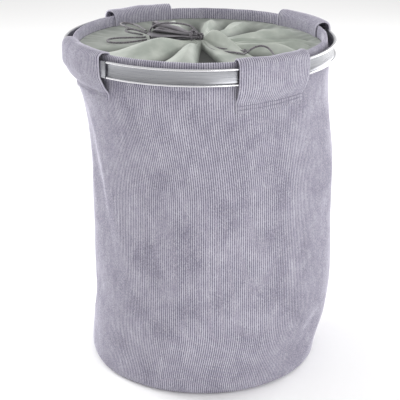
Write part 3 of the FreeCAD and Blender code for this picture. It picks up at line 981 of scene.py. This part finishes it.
# ------------------------------------------------------------------ the rim
@dataclass
class Rim:
    """The folded collar and the four corduroy loops that carry the hoop."""

    shop: Workshop
    bag: Bag
    radius: float = 0.188
    hoop_radius: float = 0.2
    collar_cut: float = 66 * MM
    loop_cut: float = 128 * MM
    loop_degrees: float = 32.0
    loop_ribs: int = 35
    skewed: dict[str, float] = field(default_factory=lambda: {"front_right": 6 * MM})
    slumped: dict[str, float] = field(default_factory=lambda: {"front_left": 3.5, "back_left": 1.5})
    puff: float = 0.3
    close_puff: float = -0.4
    close_loop: str = "front_left"
    loops: dict[str, float] = field(default_factory=lambda: {
        "front_right": -45.0, "back_right": 45.0, "back_left": 135.0, "front_left": -135.0})

    def pull(self, azimuth: float) -> float:
        """How far the collar hangs inwards between its loops, at an azimuth in the frame."""
        return 2.2 * MM * (0.5 + 0.5 * math.cos(math.radians(4 * azimuth)))

    def collar(self) -> None:
        """The wall's top edge, folded over and faced inside."""
        rows = 18
        outline = smooth_path([
            (187.4, 468), (187.9, 480), (188.2, 494), (187.6, 502), (185.6, 505.2),
            (183.2, 503.6), (182.2, 498), (181.8, 490), (181.9, 482), (182.2, 474),
        ], rows + 1)

        def place(column: float, row: float) -> Vector:
            """A point on the fold, uneven and drawn in between the loops."""
            out, up = outline[round(row * rows)]
            azimuth = FRONT_AZIMUTH + column * 360
            high = smooth(up, 480, 500)
            wobble = (noise.noise(polar(2.6, azimuth, 0.3)) * 1.3
                      + noise.noise(polar(7, azimuth, 4.0)) * 0.5)
            return polar(out * MM - self.pull(azimuth) * high + 0.4 * wobble * MM, azimuth,
                         (up + wobble * high) * MM)

        count = self.bag.wales()
        piece = sheet_object("collar", count * RIB_STEPS, rows, place, closed=True, wales=count)
        self.shop.rib(piece, 0.6 * MM, 0.4, 2.0)
        settle(piece, "rim", "corduroy", "collar_hem", "collar_facing")

    def loop_section(self, azimuth: float, puff: float, slump: float,
                     longer: float) -> list[tuple[float, float]]:
        """One loop's line from its inner seam, over the hoop, to the wall, in metres.

        Args:
            azimuth: where on the frame, for the wall's own shape.
            puff: how far the cloth stands off the hoop, in millimetres.
            slump: how far its lower part falls in towards the wall, in millimetres.
            longer: how much lower its end hangs here, in metres.

        Returns:
            Radius and height along the cloth.
        """
        sewn = []
        for height, proud in ((0.4500, 3.4 * MM), (0.4455 - 0.6 * longer, 2.8 * MM),
                              (0.4405 - longer, 3.6 * MM)):
            point = self.bag.surface(azimuth - FRONT_AZIMUTH, height)
            sewn.append((math.hypot(point.x, point.y) + proud, height))
        over = [
            (180.2, 487), (180.0, 497), (181.6, 505.5), (187, 509.6 + puff), (195.5, 510.6 + puff),
            (202.0, 506.8 + puff), (204.0 + puff, 499), (204.0 + puff, 487), (203.4 + puff, 477),
            (201.6 - slump, 468), (197.4 - 1.2 * slump, 459),
        ]
        return [(out * MM, up * MM) for out, up in over] + sewn

    def loop(self, name: str, middle: float, puff: float, seed: int) -> list[list[Vector]]:
        """Make one loop.

        Args:
            name: which loop it is.
            middle: its azimuth in the frame.
            puff: how far it stands off the hoop, in millimetres.
            seed: sets its own small unevenness.

        Returns:
            The lines of its two seams.
        """
        rows = 46
        columns = self.loop_ribs * RIB_STEPS
        lines = {}
        for column in range(columns + 1):
            share = column / columns
            azimuth = middle + self.loop_degrees * (share - 0.5)
            uneven = noise.noise(Vector((share * 3.2, seed * 7.1, 0.0)))
            longer = self.skewed.get(name, 0.0) * (1 - share)
            lines[column] = smooth_path(self.loop_section(
                azimuth, puff + 1.5 * uneven, self.slumped.get(name, 0.0), longer), rows + 1)

        def place(column: float, row: float) -> Vector:
            """A point on the loop, with its edges turned under and a little flare."""
            out, up = lines[round(column * columns)][round(row * rows)]
            side = 2 * column - 1
            edge = smooth(abs(side), 0.965, 1.0)
            flare = 0.6 * math.sin(math.pi * row) * noise.noise(Vector((row * 2.5, seed, side)))
            stretch = 1 + 0.012 * noise.noise(Vector((row * 4, seed, 1)))
            spread = self.loop_degrees * (column - 0.5) * stretch
            hem = 0.9 * MM * edge
            return polar(out - hem + flare * MM, middle + spread, up)

        piece = sheet_object("loop_cloth_" + name, columns, rows, place, wales=self.loop_ribs,
                             flip=True)
        self.shop.rib(piece, 0.85 * MM, 0.15, 3.0 + seed)
        thicken(piece, 2.3 * MM)
        settle(piece, "rim", "corduroy", "loop_" + name)
        seams = []
        for row in (0.955, 0.91):
            line = []
            for step in range(40):
                share = 0.02 + 0.96 * step / 39
                azimuth = middle + self.loop_degrees * (share - 0.5)
                line.append(place(share, row) + polar(1.0 * MM, azimuth, 0.0))
            seams.append(line)
        return seams

    def build(self) -> None:
        """Make the collar, the loops and their stitches."""
        self.collar()
        seams: list[list[Vector]] = []
        for seed, (name, middle) in enumerate(self.loops.items()):
            puff = self.close_puff if name == self.close_loop else self.puff
            seams.extend(self.loop(name, middle, puff, seed))
        self.shop.stitch("loop_stitches", seams, "rim", "corduroy")


# ------------------------------------------------------------------ the hoop
@dataclass
class Hoop:
    """The metal hoop: an open channel with rolled lips, closed by a plain sleeve.

    Attributes:
        shop: its finishes.
        rivets: the frame's rivets, which it dresses.
        joint: where the sleeve ends, in the frame.
        sleeve: how long the sleeve is, in degrees.
        gap: the gap at each end of the channel, in degrees.
        lip: one rolled lip's height.
        depth: the channel's depth, lips and all.
        sheet: the metal's thickness.
        bend: the rounding of the back's edges.
        nick: the middle of that rounding.
        root: the hollow between a lip and the web.
        crown: how far the web is crowned.
        limits: its outer radius, lowest and highest point.
    """

    shop: Workshop
    rivets: bpy.types.Object
    joint: float = -116.0
    sleeve: float = 14.0
    gap: float = 0.5
    lip: float = 3.0 * MM
    depth: float = 5.0 * MM
    sheet: float = 1.0 * MM
    bend: float = 1.2 * MM
    nick: float = 0.3 * MM
    root: float = 0.9 * MM
    crown: float = 0.35 * MM
    limits: tuple[float, float, float] = field(init=False)

    def __post_init__(self) -> None:
        """Read the hoop's outer radius, lowest and highest point from the frame, once."""
        low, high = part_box("hoop_channel")
        self.limits = (float(high[0]), float(low[2]), float(high[2]))

    def rolled(self, middle: float) -> list[tuple[float, float]]:
        """One rolled lip's outer half, from its foot up, round a middle height."""
        roll = self.lip / 2
        points = []
        for step in range(9):
            angle = math.radians(-90 + 180 * step / 8)
            points.append((self.limits[0] - roll + roll * math.cos(angle),
                           middle + roll * math.sin(angle)))
        return points

    def outline(self) -> list[tuple[float, float]]:
        """The channel's section as (radius, height) points, anticlockwise from the back's foot."""
        radius, low, high = self.limits
        back = radius - self.depth
        face = back + self.sheet
        bend, nick = self.bend, self.nick
        web_low = low + self.lip + self.root
        span = high - low - 2 * self.lip - 2 * self.root
        web = [(face + self.crown * (1 - math.sin(math.pi * step / 8)), web_low + span * step / 8)
               for step in range(1, 8)]
        return [
            (back, low + bend), (back + nick, low + nick), (back + bend, low),
            *self.rolled(low + self.lip / 2),
            (face + 1.4 * MM, low + self.lip), (face + 0.5 * MM, web_low),
            *web,
            (face + 0.5 * MM, high - self.lip - self.root), (face + 1.4 * MM, high - self.lip),
            *self.rolled(high - self.lip / 2),
            (back + bend, high), (back + nick, high - nick), (back, high - bend),
        ]

    def swept(self, name: str, outline: list[tuple[float, float]], start: float,
              stop: float, steps: int, polish_and_highlight: bool) -> bpy.types.Object:
        """Sweep a closed section about Z and close its ends.

        Args:
            name: the piece's name.
            outline: the section's points.
            start: the first azimuth.
            stop: the last azimuth.
            steps: how many steps between them.
            polish_and_highlight: whether its outer lips get a lower roughness and a lighter colour,
                which is a painted highlight.

        Returns:
            The piece, with "round" and "up" attributes along and across the strip.
        """
        points: list[Vector] = []
        around: list[float] = []
        upward: list[float] = []
        lips: list[float] = []
        radius = self.limits[0]
        web = radius - self.depth + self.sheet
        count = len(outline)
        lengths = [0.0]
        for before, after in zip(outline, outline[1:]):
            lengths.append(lengths[-1] + math.dist(before, after))
        for step in range(steps + 1):
            azimuth = start + (stop - start) * step / steps
            for (out, up), run in zip(outline, lengths):
                points.append(polar(out, azimuth, up))
                around.append(math.radians(azimuth) * radius)
                upward.append(run)
                # the lips get lower roughness and a painted highlight in their colour
                lips.append(smooth(out, web + 1 * MM, web + 2.4 * MM) if polish_and_highlight else 0.0)
        faces = []
        for step in range(steps):
            for k in range(count):
                a = step * count + k
                b = step * count + (k + 1) % count
                faces.append((a, a + count, b + count, b))
        faces.append(tuple(range(count)))
        faces.append(tuple(steps * count + k for k in reversed(range(count))))
        mesh = bpy.data.meshes.new(name)
        mesh.from_pydata(points, [], faces)
        mesh.attributes.new("round", "FLOAT", "POINT").data.foreach_set("value", around)
        mesh.attributes.new("up", "FLOAT", "POINT").data.foreach_set("value", upward)
        mesh.attributes.new("lip", "FLOAT", "POINT").data.foreach_set("value", lips)
        mesh.shade_smooth()
        mesh.set_sharp_from_angle(angle=math.radians(50))
        mesh.update()
        return new_object(name, mesh)

    def build(self) -> None:
        """Make the channel and its joiner, and dress the rivets."""
        channel = self.swept("hoop_band", self.outline(), self.joint + self.gap,
                             self.joint - self.sleeve - self.gap + 360, 480, polish_and_highlight=True)
        dress(channel, self.shop.metal)
        settle(channel, "hoop", "hoop_metal", "hoop_channel")
        radius, low, high = self.limits
        back = radius - self.depth - self.sheet
        face = radius - 0.25 * MM
        edge = 1.0 * MM
        block = [
            (back, low + edge), (back + edge, low), (face - edge, low),
            (face - self.nick, low + self.nick), (face, low + edge), (face, high - edge),
            (face - self.nick, high - self.nick), (face - edge, high), (back + edge, high),
            (back, high - edge),
        ]
        joiner = self.swept("hoop_sleeve", block, self.joint - self.sleeve, self.joint, 24,
                            polish_and_highlight=False)
        dress(joiner, self.shop.metal)
        settle(joiner, "hoop", "hoop_metal", "hoop_joiner")
        dress(self.rivets, self.shop.metal)


# ------------------------------------------------------------------ the closure
@dataclass(frozen=True)
class Fold:
    """One pleat of the gathered closure, running out from the neck.

    Attributes:
        azimuth: its line, in degrees to the right of the front.
        left: how far it spreads to the left, in degrees.
        right: how far it spreads to the right.
        height: its height, or a valley's depth where negative.
        start: where it begins, as a share of the closure's radius.
        peak: where it is highest.
        end: where it ends.
        sharp: 1 for a soft billow, less for a creased ridge.
    """

    azimuth: float
    left: float
    right: float
    height: float
    start: float = 0.05
    peak: float = 0.5
    end: float = 1.0
    sharp: float = 1.0

    def at(self, azimuth: float, share: float) -> float:
        """The fold's height at an azimuth and a share of the closure's radius."""
        side = turn_between(azimuth, self.azimuth)
        reach = abs(side) / (self.left if side < 0 else self.right)
        if reach >= 1:
            return 0.0
        crown = math.cos(reach * math.pi / 2) ** 2 if self.sharp >= 1 else (1 - reach) ** 1.6
        hold = self.peak if self.sharp >= 1 else max(self.peak, 0.72)
        along = smooth(share, self.start, self.peak) * (1 - smooth(share, hold, self.end))
        return self.height * crown * along


def nearness(azimuth: float, places: Iterable[tuple[float, float, float]]) -> float:
    """How near an azimuth is to the nearest of some places, from 0 to 1.

    Args:
        azimuth: degrees to the right of the front.
        places: each one's azimuth, how far it holds fully, and where it has faded out.

    Returns:
        1 at a place and 0 away from all of them.
    """
    return max(1 - smooth(abs(turn_between(azimuth, middle)), full, none)
               for middle, full, none in places)


@dataclass
class Closure:
    """The gathered drawstring cloth, in panels that part at its valleys.

    Attributes:
        shop: its finishes.
        radius: where it is sewn to the facing.
        seam: that seam's height.
        neck: its radius at the gathered neck.
        neck_height: the neck's height.
        corner: the radius of the panels' corners, where their hinges' chords meet.
        fullness: how much more cloth there is than its flat shape needs; not used.
        pleat_depth: the small pleats' depth.
        valley_floor: how far below the seam the deepest valley may reach.
        valley_round: how gently a valley meets that floor.
        calm: where there are no small pleats, as nearness() takes them.
        taut: where the cloth sags least, likewise.
        panels: each panel's name and width, rightwards from the first edge.
        first_edge: where the first panel starts.
        folds: the large pleats and valleys.
    """

    shop: Workshop
    radius: float = 181.0 * MM
    seam: float = 488.0 * MM
    neck: float = 7 * MM
    neck_height: float = 497.0 * MM
    corner: float = 178.0 * MM
    fullness: float = 1.15
    pleat_depth: float = 5 * MM
    valley_floor: float = 9 * MM
    valley_round: float = 2 * MM
    calm: tuple[tuple[float, float, float], ...] = ((-112, 20, 40), (-40, 30, 50), (28, 10, 20))
    taut: tuple[tuple[float, float, float], ...] = ((-112, 26, 44), (32, 12, 24))
    panels: tuple[tuple[str, float], ...] = (
        ("front_right", 45), ("right", 45), ("back_right", 45), ("back", 33.5),
        ("back_left", 33.5), ("left", 68), ("front_left", 45), ("front", 45))
    first_edge: float = 12.0
    folds: tuple[Fold, ...] = (
        Fold(-57, 23, 24, 20 * MM, 0.05, 0.42, 1.0),
        Fold(-33, 7, 7, -14 * MM, 0.05, 0.45, 1.0, 0.5),
        Fold(-11, 20, 13, 21 * MM, 0.07, 0.45, 1.0),
        Fold(8, 13, 10, -60 * MM, 0.04, 0.55, 1.0),
        Fold(20, 5, 26, 3.5 * MM, 0.08, 0.4, 1.0),
        Fold(50, 7, 7, 17 * MM, 0.0, 0.14, 0.62),
        Fold(57, 8, 6, -9 * MM, 0.2, 0.6, 1.0),
        Fold(66, 8, 9, 11 * MM, 0.05, 0.45, 1.0, 0.5),
        Fold(80, 6, 8, 14 * MM, 0.03, 0.4, 1.0, 0.5),
        Fold(93, 5, 8, 15 * MM, 0.03, 0.4, 1.0, 0.5),
        Fold(103, 6, 6, -12 * MM, 0.08, 0.5, 1.0, 0.5),
        Fold(119, 12, 15, 17 * MM, 0.05, 0.55, 1.0, 0.5),
        Fold(142, 8, 7, -16 * MM, 0.06, 0.5, 1.0),
        Fold(152, 6, 12, 14 * MM, 0.03, 0.45, 1.0, 0.5),
        Fold(163, 5, 5, -10 * MM, 0.05, 0.5, 1.0, 0.5),
        Fold(173, 10, 5, 13 * MM, 0.03, 0.45, 1.0, 0.5),
        Fold(-177, 7, 7, -22 * MM, 0.05, 0.45, 1.0),
        Fold(-158, 13, 12, 12 * MM, 0.08, 0.6, 1.0),
        Fold(-142, 8, 7, -10 * MM, 0.1, 0.6, 1.0),
        Fold(-78, 8, 8, -7 * MM, 0.1, 0.5, 1.0),
    )

    def pleats(self, azimuth: float, share: float) -> float:
        """The small uneven pleats between the main folds, from the neck outwards."""
        turn = math.radians(azimuth * 15) + 1.6 * math.sin(math.radians(azimuth * 4) + 0.7)
        ridge = 1 - 2 * abs(math.sin(turn / 2 + 2.2 * share))
        along = smooth(share, 0.04, 0.2) * (1 - smooth(share, 0.7, 0.98))
        return self.pleat_depth * ridge * along * (1 - 0.9 * nearness(azimuth, self.calm))

    def folded(self, azimuth: float, share: float) -> float:
        """All the large folds' height at an azimuth and a share of the radius."""
        return sum(fold.at(azimuth, share) for fold in self.folds)

    def crest(self, azimuth: float, radius: float) -> float:
        """How far a place is up a fold, from 0 in a valley to 1 on a ridge; it sets the painted
        shade in the cloth's valleys.
        """
        share = radius / self.radius
        folds = self.folded(azimuth, share) + self.pleats(azimuth, share)
        return min(1.0, max(0.0, 0.5 + folds / (20 * MM)))

    def height(self, azimuth: float, radius: float) -> float:
        """The cloth's height.

        Args:
            azimuth: degrees to the right of the front.
            radius: from the axis.

        Returns:
            The height above the floor.
        """
        share = radius / self.radius
        rise = (self.neck_height - self.seam) * (1 - share) ** 2.4
        held = nearness(azimuth, self.taut)
        sag = (2.5 * held - 5.5) * MM * abs(math.sin(math.pi * share)) ** 0.8
        gather = 1.3 * MM * math.sin(
            math.radians(azimuth * 26) + 1.3 * math.sin(math.radians(azimuth * 5)))
        gather *= smooth(share, 0.02, 0.14) * (1 - smooth(share, 0.18, 0.5))
        pucker = 0.7 * MM * math.sin(
            math.radians(azimuth * 58) + 2 * math.sin(math.radians(azimuth * 7)))
        pucker *= smooth(share, 0.82, 0.95) * (1 - smooth(share, 0.97, 1.0))
        soft = 1.2 * MM * noise.noise(polar(radius * 28, azimuth, 3.0))
        soft *= 1 - smooth(share, 0.85, 1.0)
        depth = (sag + self.folded(azimuth, share) + self.pleats(azimuth, share) + gather + pucker
                 + soft)
        # a valley stays above this floor, so that an open panel doesn't reach the bag's wall
        room = (depth + self.valley_floor) / self.valley_round
        depth = self.valley_round * math.log1p(math.exp(min(room, 40))) - self.valley_floor
        return self.seam + rise + depth

    def panel(self, name: str, start: float, width: float) -> None:
        """Make one panel of the closure.

        Args:
            name: the panel's name.
            start: its first edge, in degrees to the right of the front.
            width: its width in degrees.
        """
        def place(column: float, row: float) -> Vector:
            """A point on the panel, from the neck out to the seam."""
            azimuth = start + width * column
            radius = self.neck + (self.radius - self.neck) * row
            return polar(radius, FRONT_AZIMUTH + azimuth, self.height(azimuth, radius))

        steps, rows = round(width * 3), 72
        piece = sheet_object("closure_cloth_" + name, steps, rows, place)
        # the crest attribute lays painted shade into the cloth's valleys
        crests = [self.crest(start + width * column / steps,
                             self.neck + (self.radius - self.neck) * row / rows)
                  for row in range(rows + 1) for column in range(steps + 1)]
        piece.data.attributes.new("crest", "FLOAT", "POINT").data.foreach_set("value", crests)
        thicken(piece, 0.4 * MM)
        dress(piece, self.shop.closure)
        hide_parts("closure_pleat_" + name)
        # each gore tapers to the neck
        middle = FRONT_AZIMUTH + start + width / 2
        hinge = self.corner * math.cos(math.radians(width / 2))
        polar(hinge + 7 * MM, middle, self.seam)
        polar(hinge - 12 * MM, middle, self.seam)
        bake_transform(piece)
        LOG.info("%s bends between rim and panel_%s", piece.name, name)

    def seam_roll(self) -> None:
        """The narrow sewn roll where the closure joins the facing."""
        def place(column: float, row: float) -> Vector:
            """A point on the roll, which ripples with its stitches."""
            angle = 2 * math.pi * row
            azimuth = column * 360
            wave = 0.25 * MM * math.sin(math.radians(azimuth * 90))
            return polar(self.radius + 0.1 * MM + 0.9 * MM * math.cos(angle), azimuth,
                         self.seam - 0.2 * MM + wave + 1.1 * MM * math.sin(angle))

        piece = sheet_object("closure_seam", 720, 10, place, closed=True)
        dress(piece, self.shop.tape)
        settle(piece, "rim", "closure_cloth", "closure_yoke")

    def build(self) -> None:
        """Make every panel and the seam."""
        edge = self.first_edge
        for name, width in self.panels:
            self.panel(name, edge, width)
            edge += width
        self.seam_roll()


# ------------------------------------------------------------------ the drawstring
class End(Enum):
    """Where a stretch of cord goes."""

    KNOT = "knot"
    OBJECT = "object"


@dataclass(frozen=True)
class CordRun:
    """One loose stretch of the drawcord.

    Attributes:
        name: the piece's name, and its node's.
        points: its route, in millimetres.
        length: its real length in metres; not used.
        end: where it goes.
        body: the body that it moves with.
    """

    name: str
    points: tuple[tuple[float, float, float], ...]
    length: float
    end: End
    body: str


@dataclass
class Drawstring:
    """The gathered casing, lying to one side, with its tied cord."""

    shop: Workshop
    azimuth: float = 172.0
    diameter: float = 2.8 * MM
    casing_cut: tuple[float, float] = (130 * MM, 70 * MM)
    runs: tuple[CordRun, ...] = (
        CordRun("drawcord_wrap", (
            (-75, 0, 492), (-79, 1, 502), (-72, 1, 512), (-56, 2, 516.5), (-38, 3, 517),
            (-21, 2, 516), (-8, -3, 513), (-1, -10, 506)), 0.097, End.OBJECT, "panel_left"),
        CordRun("bow_loop_low", (
            (-80, -6, 492), (-97, -22, 490.6), (-116, -31, 490.2), (-131, -30, 490.4),
            (-138, -20, 490.8), (-134, -8, 491), (-120, 1, 491), (-101, 4, 491.4),
            (-84, 3, 493.4)), 0.134, End.OBJECT, "panel_left"),
        CordRun("bow_loop_high", (
            (-83, 8, 498), (-98, 10, 501), (-115, 17, 503), (-129, 29, 503.4), (-137, 43, 503),
            (-133, 53, 502.4), (-120, 51, 502), (-104, 38, 501), (-89, 21, 499)),
            0.132, End.OBJECT, "panel_left"),
        CordRun("bow_loop_mid", (
            (-79, 12, 495), (-91, 23, 495.6), (-106, 35, 496), (-119, 38, 496.4),
            (-125, 29, 496.4), (-118, 19, 496.2), (-104, 13, 496), (-91, 10.5, 495.2)),
            0.096, End.OBJECT, "panel_left"),
        CordRun("drawcord_tail_long", (
            (13, -22, 491.4), (26, -38, 490.2), (41, -46, 490), (57, -45, 490), (71, -50, 490.4),
            (81, -60, 492), (88, -60, 499), (98, -52, 503.4), (110, -50, 502), (120, -60, 496),
            (127, -74, 491.4), (127, -88, 491.6)), 0.159, End.KNOT, "panel_front_right"),
        CordRun("drawcord_tail_short", (
            (21, -20, 490.6), (34, -27, 490), (50, -30, 490), (64, -37, 490.8), (73, -41, 491.6)),
            0.056, End.KNOT, "panel_front_right"),
    )

    def cord(self, run: CordRun, knot: bpy.types.Object | None) -> None:
        """Make one stretch of cord as a smooth line.

        Args:
            run: the stretch.
            knot: the knot on its end, if it has one; not used.
        """
        curve = bpy.data.curves.new(run.name, "CURVE")
        curve.dimensions = "3D"
        curve.bevel_depth = self.diameter / 2
        curve.bevel_resolution = 4
        curve.resolution_u = 10
        curve.use_fill_caps = True
        line = curve.splines.new("NURBS")
        line.points.add(len(run.points) - 1)
        for target, point in zip(line.points, run.points):
            target.co = (*(value * MM for value in point), 1.0)
        line.order_u = 3
        line.use_endpoint_u = True
        piece = new_object(run.name + "_cord", curve)
        curve.materials.append(self.shop.cord)
        settle(piece, run.body, "drawcord", run.name)
        exit_point = tuple(value * MM for value in run.points[0])

    def knot(self, name: str, centre: Vector, size: float, thread: float, body: str,
             tilt: float, *nodes: str) -> bpy.types.Object:
        """A tied knot, as a closed three-lobed turn of cord.

        Args:
            name: the piece's name.
            centre: the knot's middle.
            size: the radius of its turns.
            thread: the cord's radius.
            body: the body that it moves with.
            tilt: how far it is tipped, in degrees.
            nodes: the CAD nodes that it stands for.

        Returns:
            The knot.
        """
        turn = Matrix.Rotation(math.radians(tilt), 3, "X") @ Matrix.Rotation(0.6, 3, "Z")
        lobe = 0.55

        def centre_line(share: float) -> Vector:
            """The middle of the cord, a share of the way round the knot."""
            angle = 2 * math.pi * share
            reach = 1 + lobe * math.cos(3 * angle)
            flat = Vector((reach * math.cos(2 * angle), reach * math.sin(2 * angle),
                           0.75 * math.sin(3 * angle)))
            return turn @ flat * size / (1 + lobe)

        def place(column: float, row: float) -> Vector:
            """A point on the cord's surface."""
            here = centre_line(row)
            ahead = (centre_line(row + 0.004) - here).normalized()
            side = ahead.cross(Vector((0.2, 0.1, 1))).normalized()
            other = ahead.cross(side)
            angle = 2 * math.pi * column
            return centre + here + (side * math.cos(angle) + other * math.sin(angle)) * thread

        piece = sheet_object(name, 10, 90, place, closed=True)
        dress(piece, self.shop.cord)
        return settle(piece, body, "drawcord", *nodes)

    @staticmethod
    def middle(name: str) -> Vector:
        """The middle of a node's box in the frame."""
        low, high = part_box(name)
        return (Vector(low) + Vector(high)) / 2

    def axis(self) -> tuple[Vector, Vector]:
        """The gathered casing's tied end and its direction."""
        way = polar(1.0, self.azimuth, 0.0)
        return self.middle("neck_tie") - way * 3 * MM, way

    def casing(self) -> None:
        """The bunched casing, a ruffle of deep folds that flares to its loose end."""
        start, way = self.axis()
        side = Vector((0, 0, 1)).cross(way)
        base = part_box("closure_pleat_left")[1][2] + 0.6 * MM
        columns, rows = 168, 60
        length = 66 * MM
        rest = 1.2 * MM  # how gently the casing comes down on the closure
        flare = smooth_path([(0, 4.0), (0.06, 6.4), (0.14, 5.4), (0.3, 8.6), (0.55, 11.5),
                             (0.8, 13.5), (1.0, 12.2)], rows + 1)

        def folds(angle: float, row: float) -> float:
            """How far the gathers stand out, as a share of the casing's radius."""
            return (0.30 * math.cos(8 * angle + 1.2 * row)
                    + 0.20 * math.cos(13 * angle - 1.6 * row + 1)
                    + 0.12 * math.cos(5 * angle + 0.7))

        def place(column: float, row: float) -> Vector:
            """A point on the casing, kept above the closure that it lies on."""
            angle = 2 * math.pi * column
            wide = flare[round(row * rows)][1] * MM
            grow = smooth(row, 0.08, 0.6)
            lobes = folds(angle, row) * (0.6 + 0.5 * grow)
            wobble = 0.18 * noise.noise(
                Vector((math.cos(angle) * 1.5, math.sin(angle) * 1.5, row * 5)))
            reach = wide * (1 + lobes + wobble)
            frill = (5 * MM * grow ** 3 * math.sin(4 * angle + 1)
                     + 3 * MM * grow ** 3 * math.sin(9 * angle))
            bow = 3 * MM * math.sin(row * 2.6)
            point = (start + way * (-4 * MM + length * row + frill)
                     + side * (reach * 1.25 * math.cos(angle) + bow)
                     + Vector((0, 0, reach * 0.86 * math.sin(angle) + 1.0 * MM * grow)))
            point.z = base + math.log1p(math.exp((point.z - base) / rest)) * rest
            return point

        piece = sheet_object("neck_ruffle", columns, rows, place, closed=True)
        # the crest attribute lays painted shade into the ruffle's deep folds
        crests = [0.5 + folds(2 * math.pi * column / columns, row / rows)
                  for row in range(rows + 1) for column in range(columns)]
        piece.data.attributes.new("crest", "FLOAT", "POINT").data.foreach_set("value", crests)
        thicken(piece, 0.45 * MM)
        dress(piece, self.shop.casing)
        settle(piece, "panel_left", "casing_cloth", "neck_casing")

    def tie(self) -> None:
        """The turns of cord that bind the neck."""
        start, way = self.axis()
        side = Vector((0, 0, 1)).cross(way)
        turns = 2.5
        radius = 8.4 * MM

        def centre_line(share: float) -> Vector:
            """The middle of the cord, a share of the way along its turns."""
            angle = 2 * math.pi * turns * share + 1.1
            return (start + way * ((1.2 + 5.2 * share) * MM) + side * radius * math.cos(angle)
                    + Vector((0, 0, radius * math.sin(angle))))

        def place(column: float, row: float) -> Vector:
            """A point on the cord's surface."""
            here = centre_line(row)
            ahead = (centre_line(row + 0.002) - here).normalized()
            other = ahead.cross(way).normalized()
            angle = 2 * math.pi * column
            return here + (way * math.cos(angle) + other * math.sin(angle)) * self.diameter / 2

        piece = sheet_object("neck_binding", 10, 120, place, closed=True)
        dress(piece, self.shop.cord)
        settle(piece, "panel_left", "drawcord", "neck_tie")

    def build(self) -> None:
        """Make the casing, its binding, the knots and every stretch of cord."""
        self.casing()
        self.tie()
        self.knot("bow_knot_turns", self.middle("bow_knot"), 4.6 * MM, 1.5 * MM, "panel_left", 70,
                  "bow_knot")
        for run in self.runs:
            knot = None
            if run.end is End.KNOT:
                end_node = run.name.replace("drawcord_tail", "end_knot")
                knot = self.knot(end_node + "_turns", self.middle(end_node), 2.2 * MM, 1.1 * MM,
                                 run.body, 35, end_node)
            self.cord(run, knot)


# ------------------------------------------------------------------ the studio
@dataclass
class Studio:
    """A pale floor, soft light and the camera.

    Attributes:
        distance: the camera's, from the bag's axis.
        height: the camera's.
        pitch: how far it looks down, in degrees.
        lens: its focal length in millimetres.
        azimuth: its direction from the axis, in the frame.
        floor_reach: how far the floor goes from the axis.
        sky: the surround's strength.
        aim: the height that the lamps point at.
        lamps: each lamp's name, azimuth, distance, height, size and power, as lamp() takes them.
    """

    distance: float = 1.69
    height: float = 0.88
    pitch: float = 20.65
    lens: float = 105.2
    azimuth: float = FRONT_AZIMUTH
    floor_reach: float = 30.0
    sky: float = 0.84
    aim: float = 0.3
    lamps: tuple[tuple[str, float, float, float, float, float], ...] = (
        ("key", 30, 2.2, 0.9, 1.4, 20),
        ("fill", -118, 2.0, 1.1, 1.1, 38),
        ("back", 128, 2.2, 0.9, 1.4, 28),
    )

    def floor(self) -> None:
        """A wide flat pale floor."""
        def place(column: float, row: float) -> Vector:
            """A point on the floor, just under the object's feet."""
            return Vector((-self.floor_reach + 2 * self.floor_reach * column,
                           -self.floor_reach + 2 * self.floor_reach * row, -0.3 * MM))

        piece = sheet_object("studio_floor", 8, 8, place)
        dress(piece, StudioFloor().material())

    def lamp(self, name: str, azimuth: float, distance: float, height: float, size: float,
             power: float) -> None:
        """A square soft light aimed at the bag's axis.

        Args:
            name: the light's name.
            azimuth: degrees to the right of the front.
            distance: from the axis.
            height: above the floor.
            size: the side of its square.
            power: in watts.
        """
        lamp = bpy.data.lights.new(name, "AREA")
        lamp.energy = power
        lamp.size = size
        made = new_object(name, lamp)
        made.location = polar(distance, self.azimuth + azimuth, height)
        towards = Vector((0, 0, self.aim)) - made.location
        made.rotation_euler = towards.to_track_quat("-Z", "Y").to_euler()

    def world(self) -> None:
        """An even white surround, a little greyer towards the front of the bag."""
        world = bpy.data.worlds.new("studio")
        bpy.context.scene.world = world
        world.use_nodes = True
        tree = world.node_tree
        tree.nodes.clear()
        way = node(tree, "ShaderNodeTexCoord").outputs["Generated"]
        front = polar(1.0, self.azimuth, 0.0)
        frontwards = node(tree, "ShaderNodeVectorMath", {0: way, 1: front},
                          operation="DOT_PRODUCT")
        share = node(tree, "ShaderNodeMapRange", {
            "Value": frontwards.outputs["Value"], "From Min": -0.1, "From Max": 0.95})
        mix = node(tree, "ShaderNodeMix", {
            0: share.outputs["Result"], 6: linear("FFFFFF"), 7: linear("E2E0DE")}, data_type="RGBA")
        light = node(tree, "ShaderNodeBackground", {"Color": mix.outputs[2], "Strength": self.sky})
        node(tree, "ShaderNodeOutputWorld", {"Surface": light.outputs[0]})

    def camera(self) -> None:
        """The camera, upright and looking down a little."""
        lens = bpy.data.cameras.new("camera")
        lens.lens = self.lens
        lens.sensor_width = 36
        made = new_object("camera", lens)
        made.location = polar(self.distance, self.azimuth, self.height)
        made.rotation_euler = (math.radians(90 - self.pitch), 0, math.radians(self.azimuth + 90))
        bpy.context.scene.camera = made

    def build(self) -> None:
        """Set up everything round the object."""
        self.floor()
        self.world()
        self.camera()
        for lamp in self.lamps:
            self.lamp(*lamp)
        bpy.context.scene.view_settings.view_transform = "Standard"


def main() -> None:
    """Build the hamper round the frame."""
    logging.basicConfig(level=logging.INFO, format="%(message)s")
    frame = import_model()
    shop = Workshop.open()
    travel = next(joint for joint in frame["joints"] if joint["name"] == "rim_lower")
    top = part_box("outer_wall")[1][2]
    drop = -travel["range_m"][0]
    bag = Bag(shop, keep=1 - drop / top, top=top, radius=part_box("outer_wall")[1][0])
    bag.build()
    Rim(shop, bag).build()
    Hoop(shop, frame["nodes"]["hoop_rivets"]).build()
    Closure(shop).build()
    Drawstring(shop).build()
    Studio().build()
    bpy.context.view_layer.update()
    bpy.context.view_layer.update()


if __name__ == "__main__":
    main()
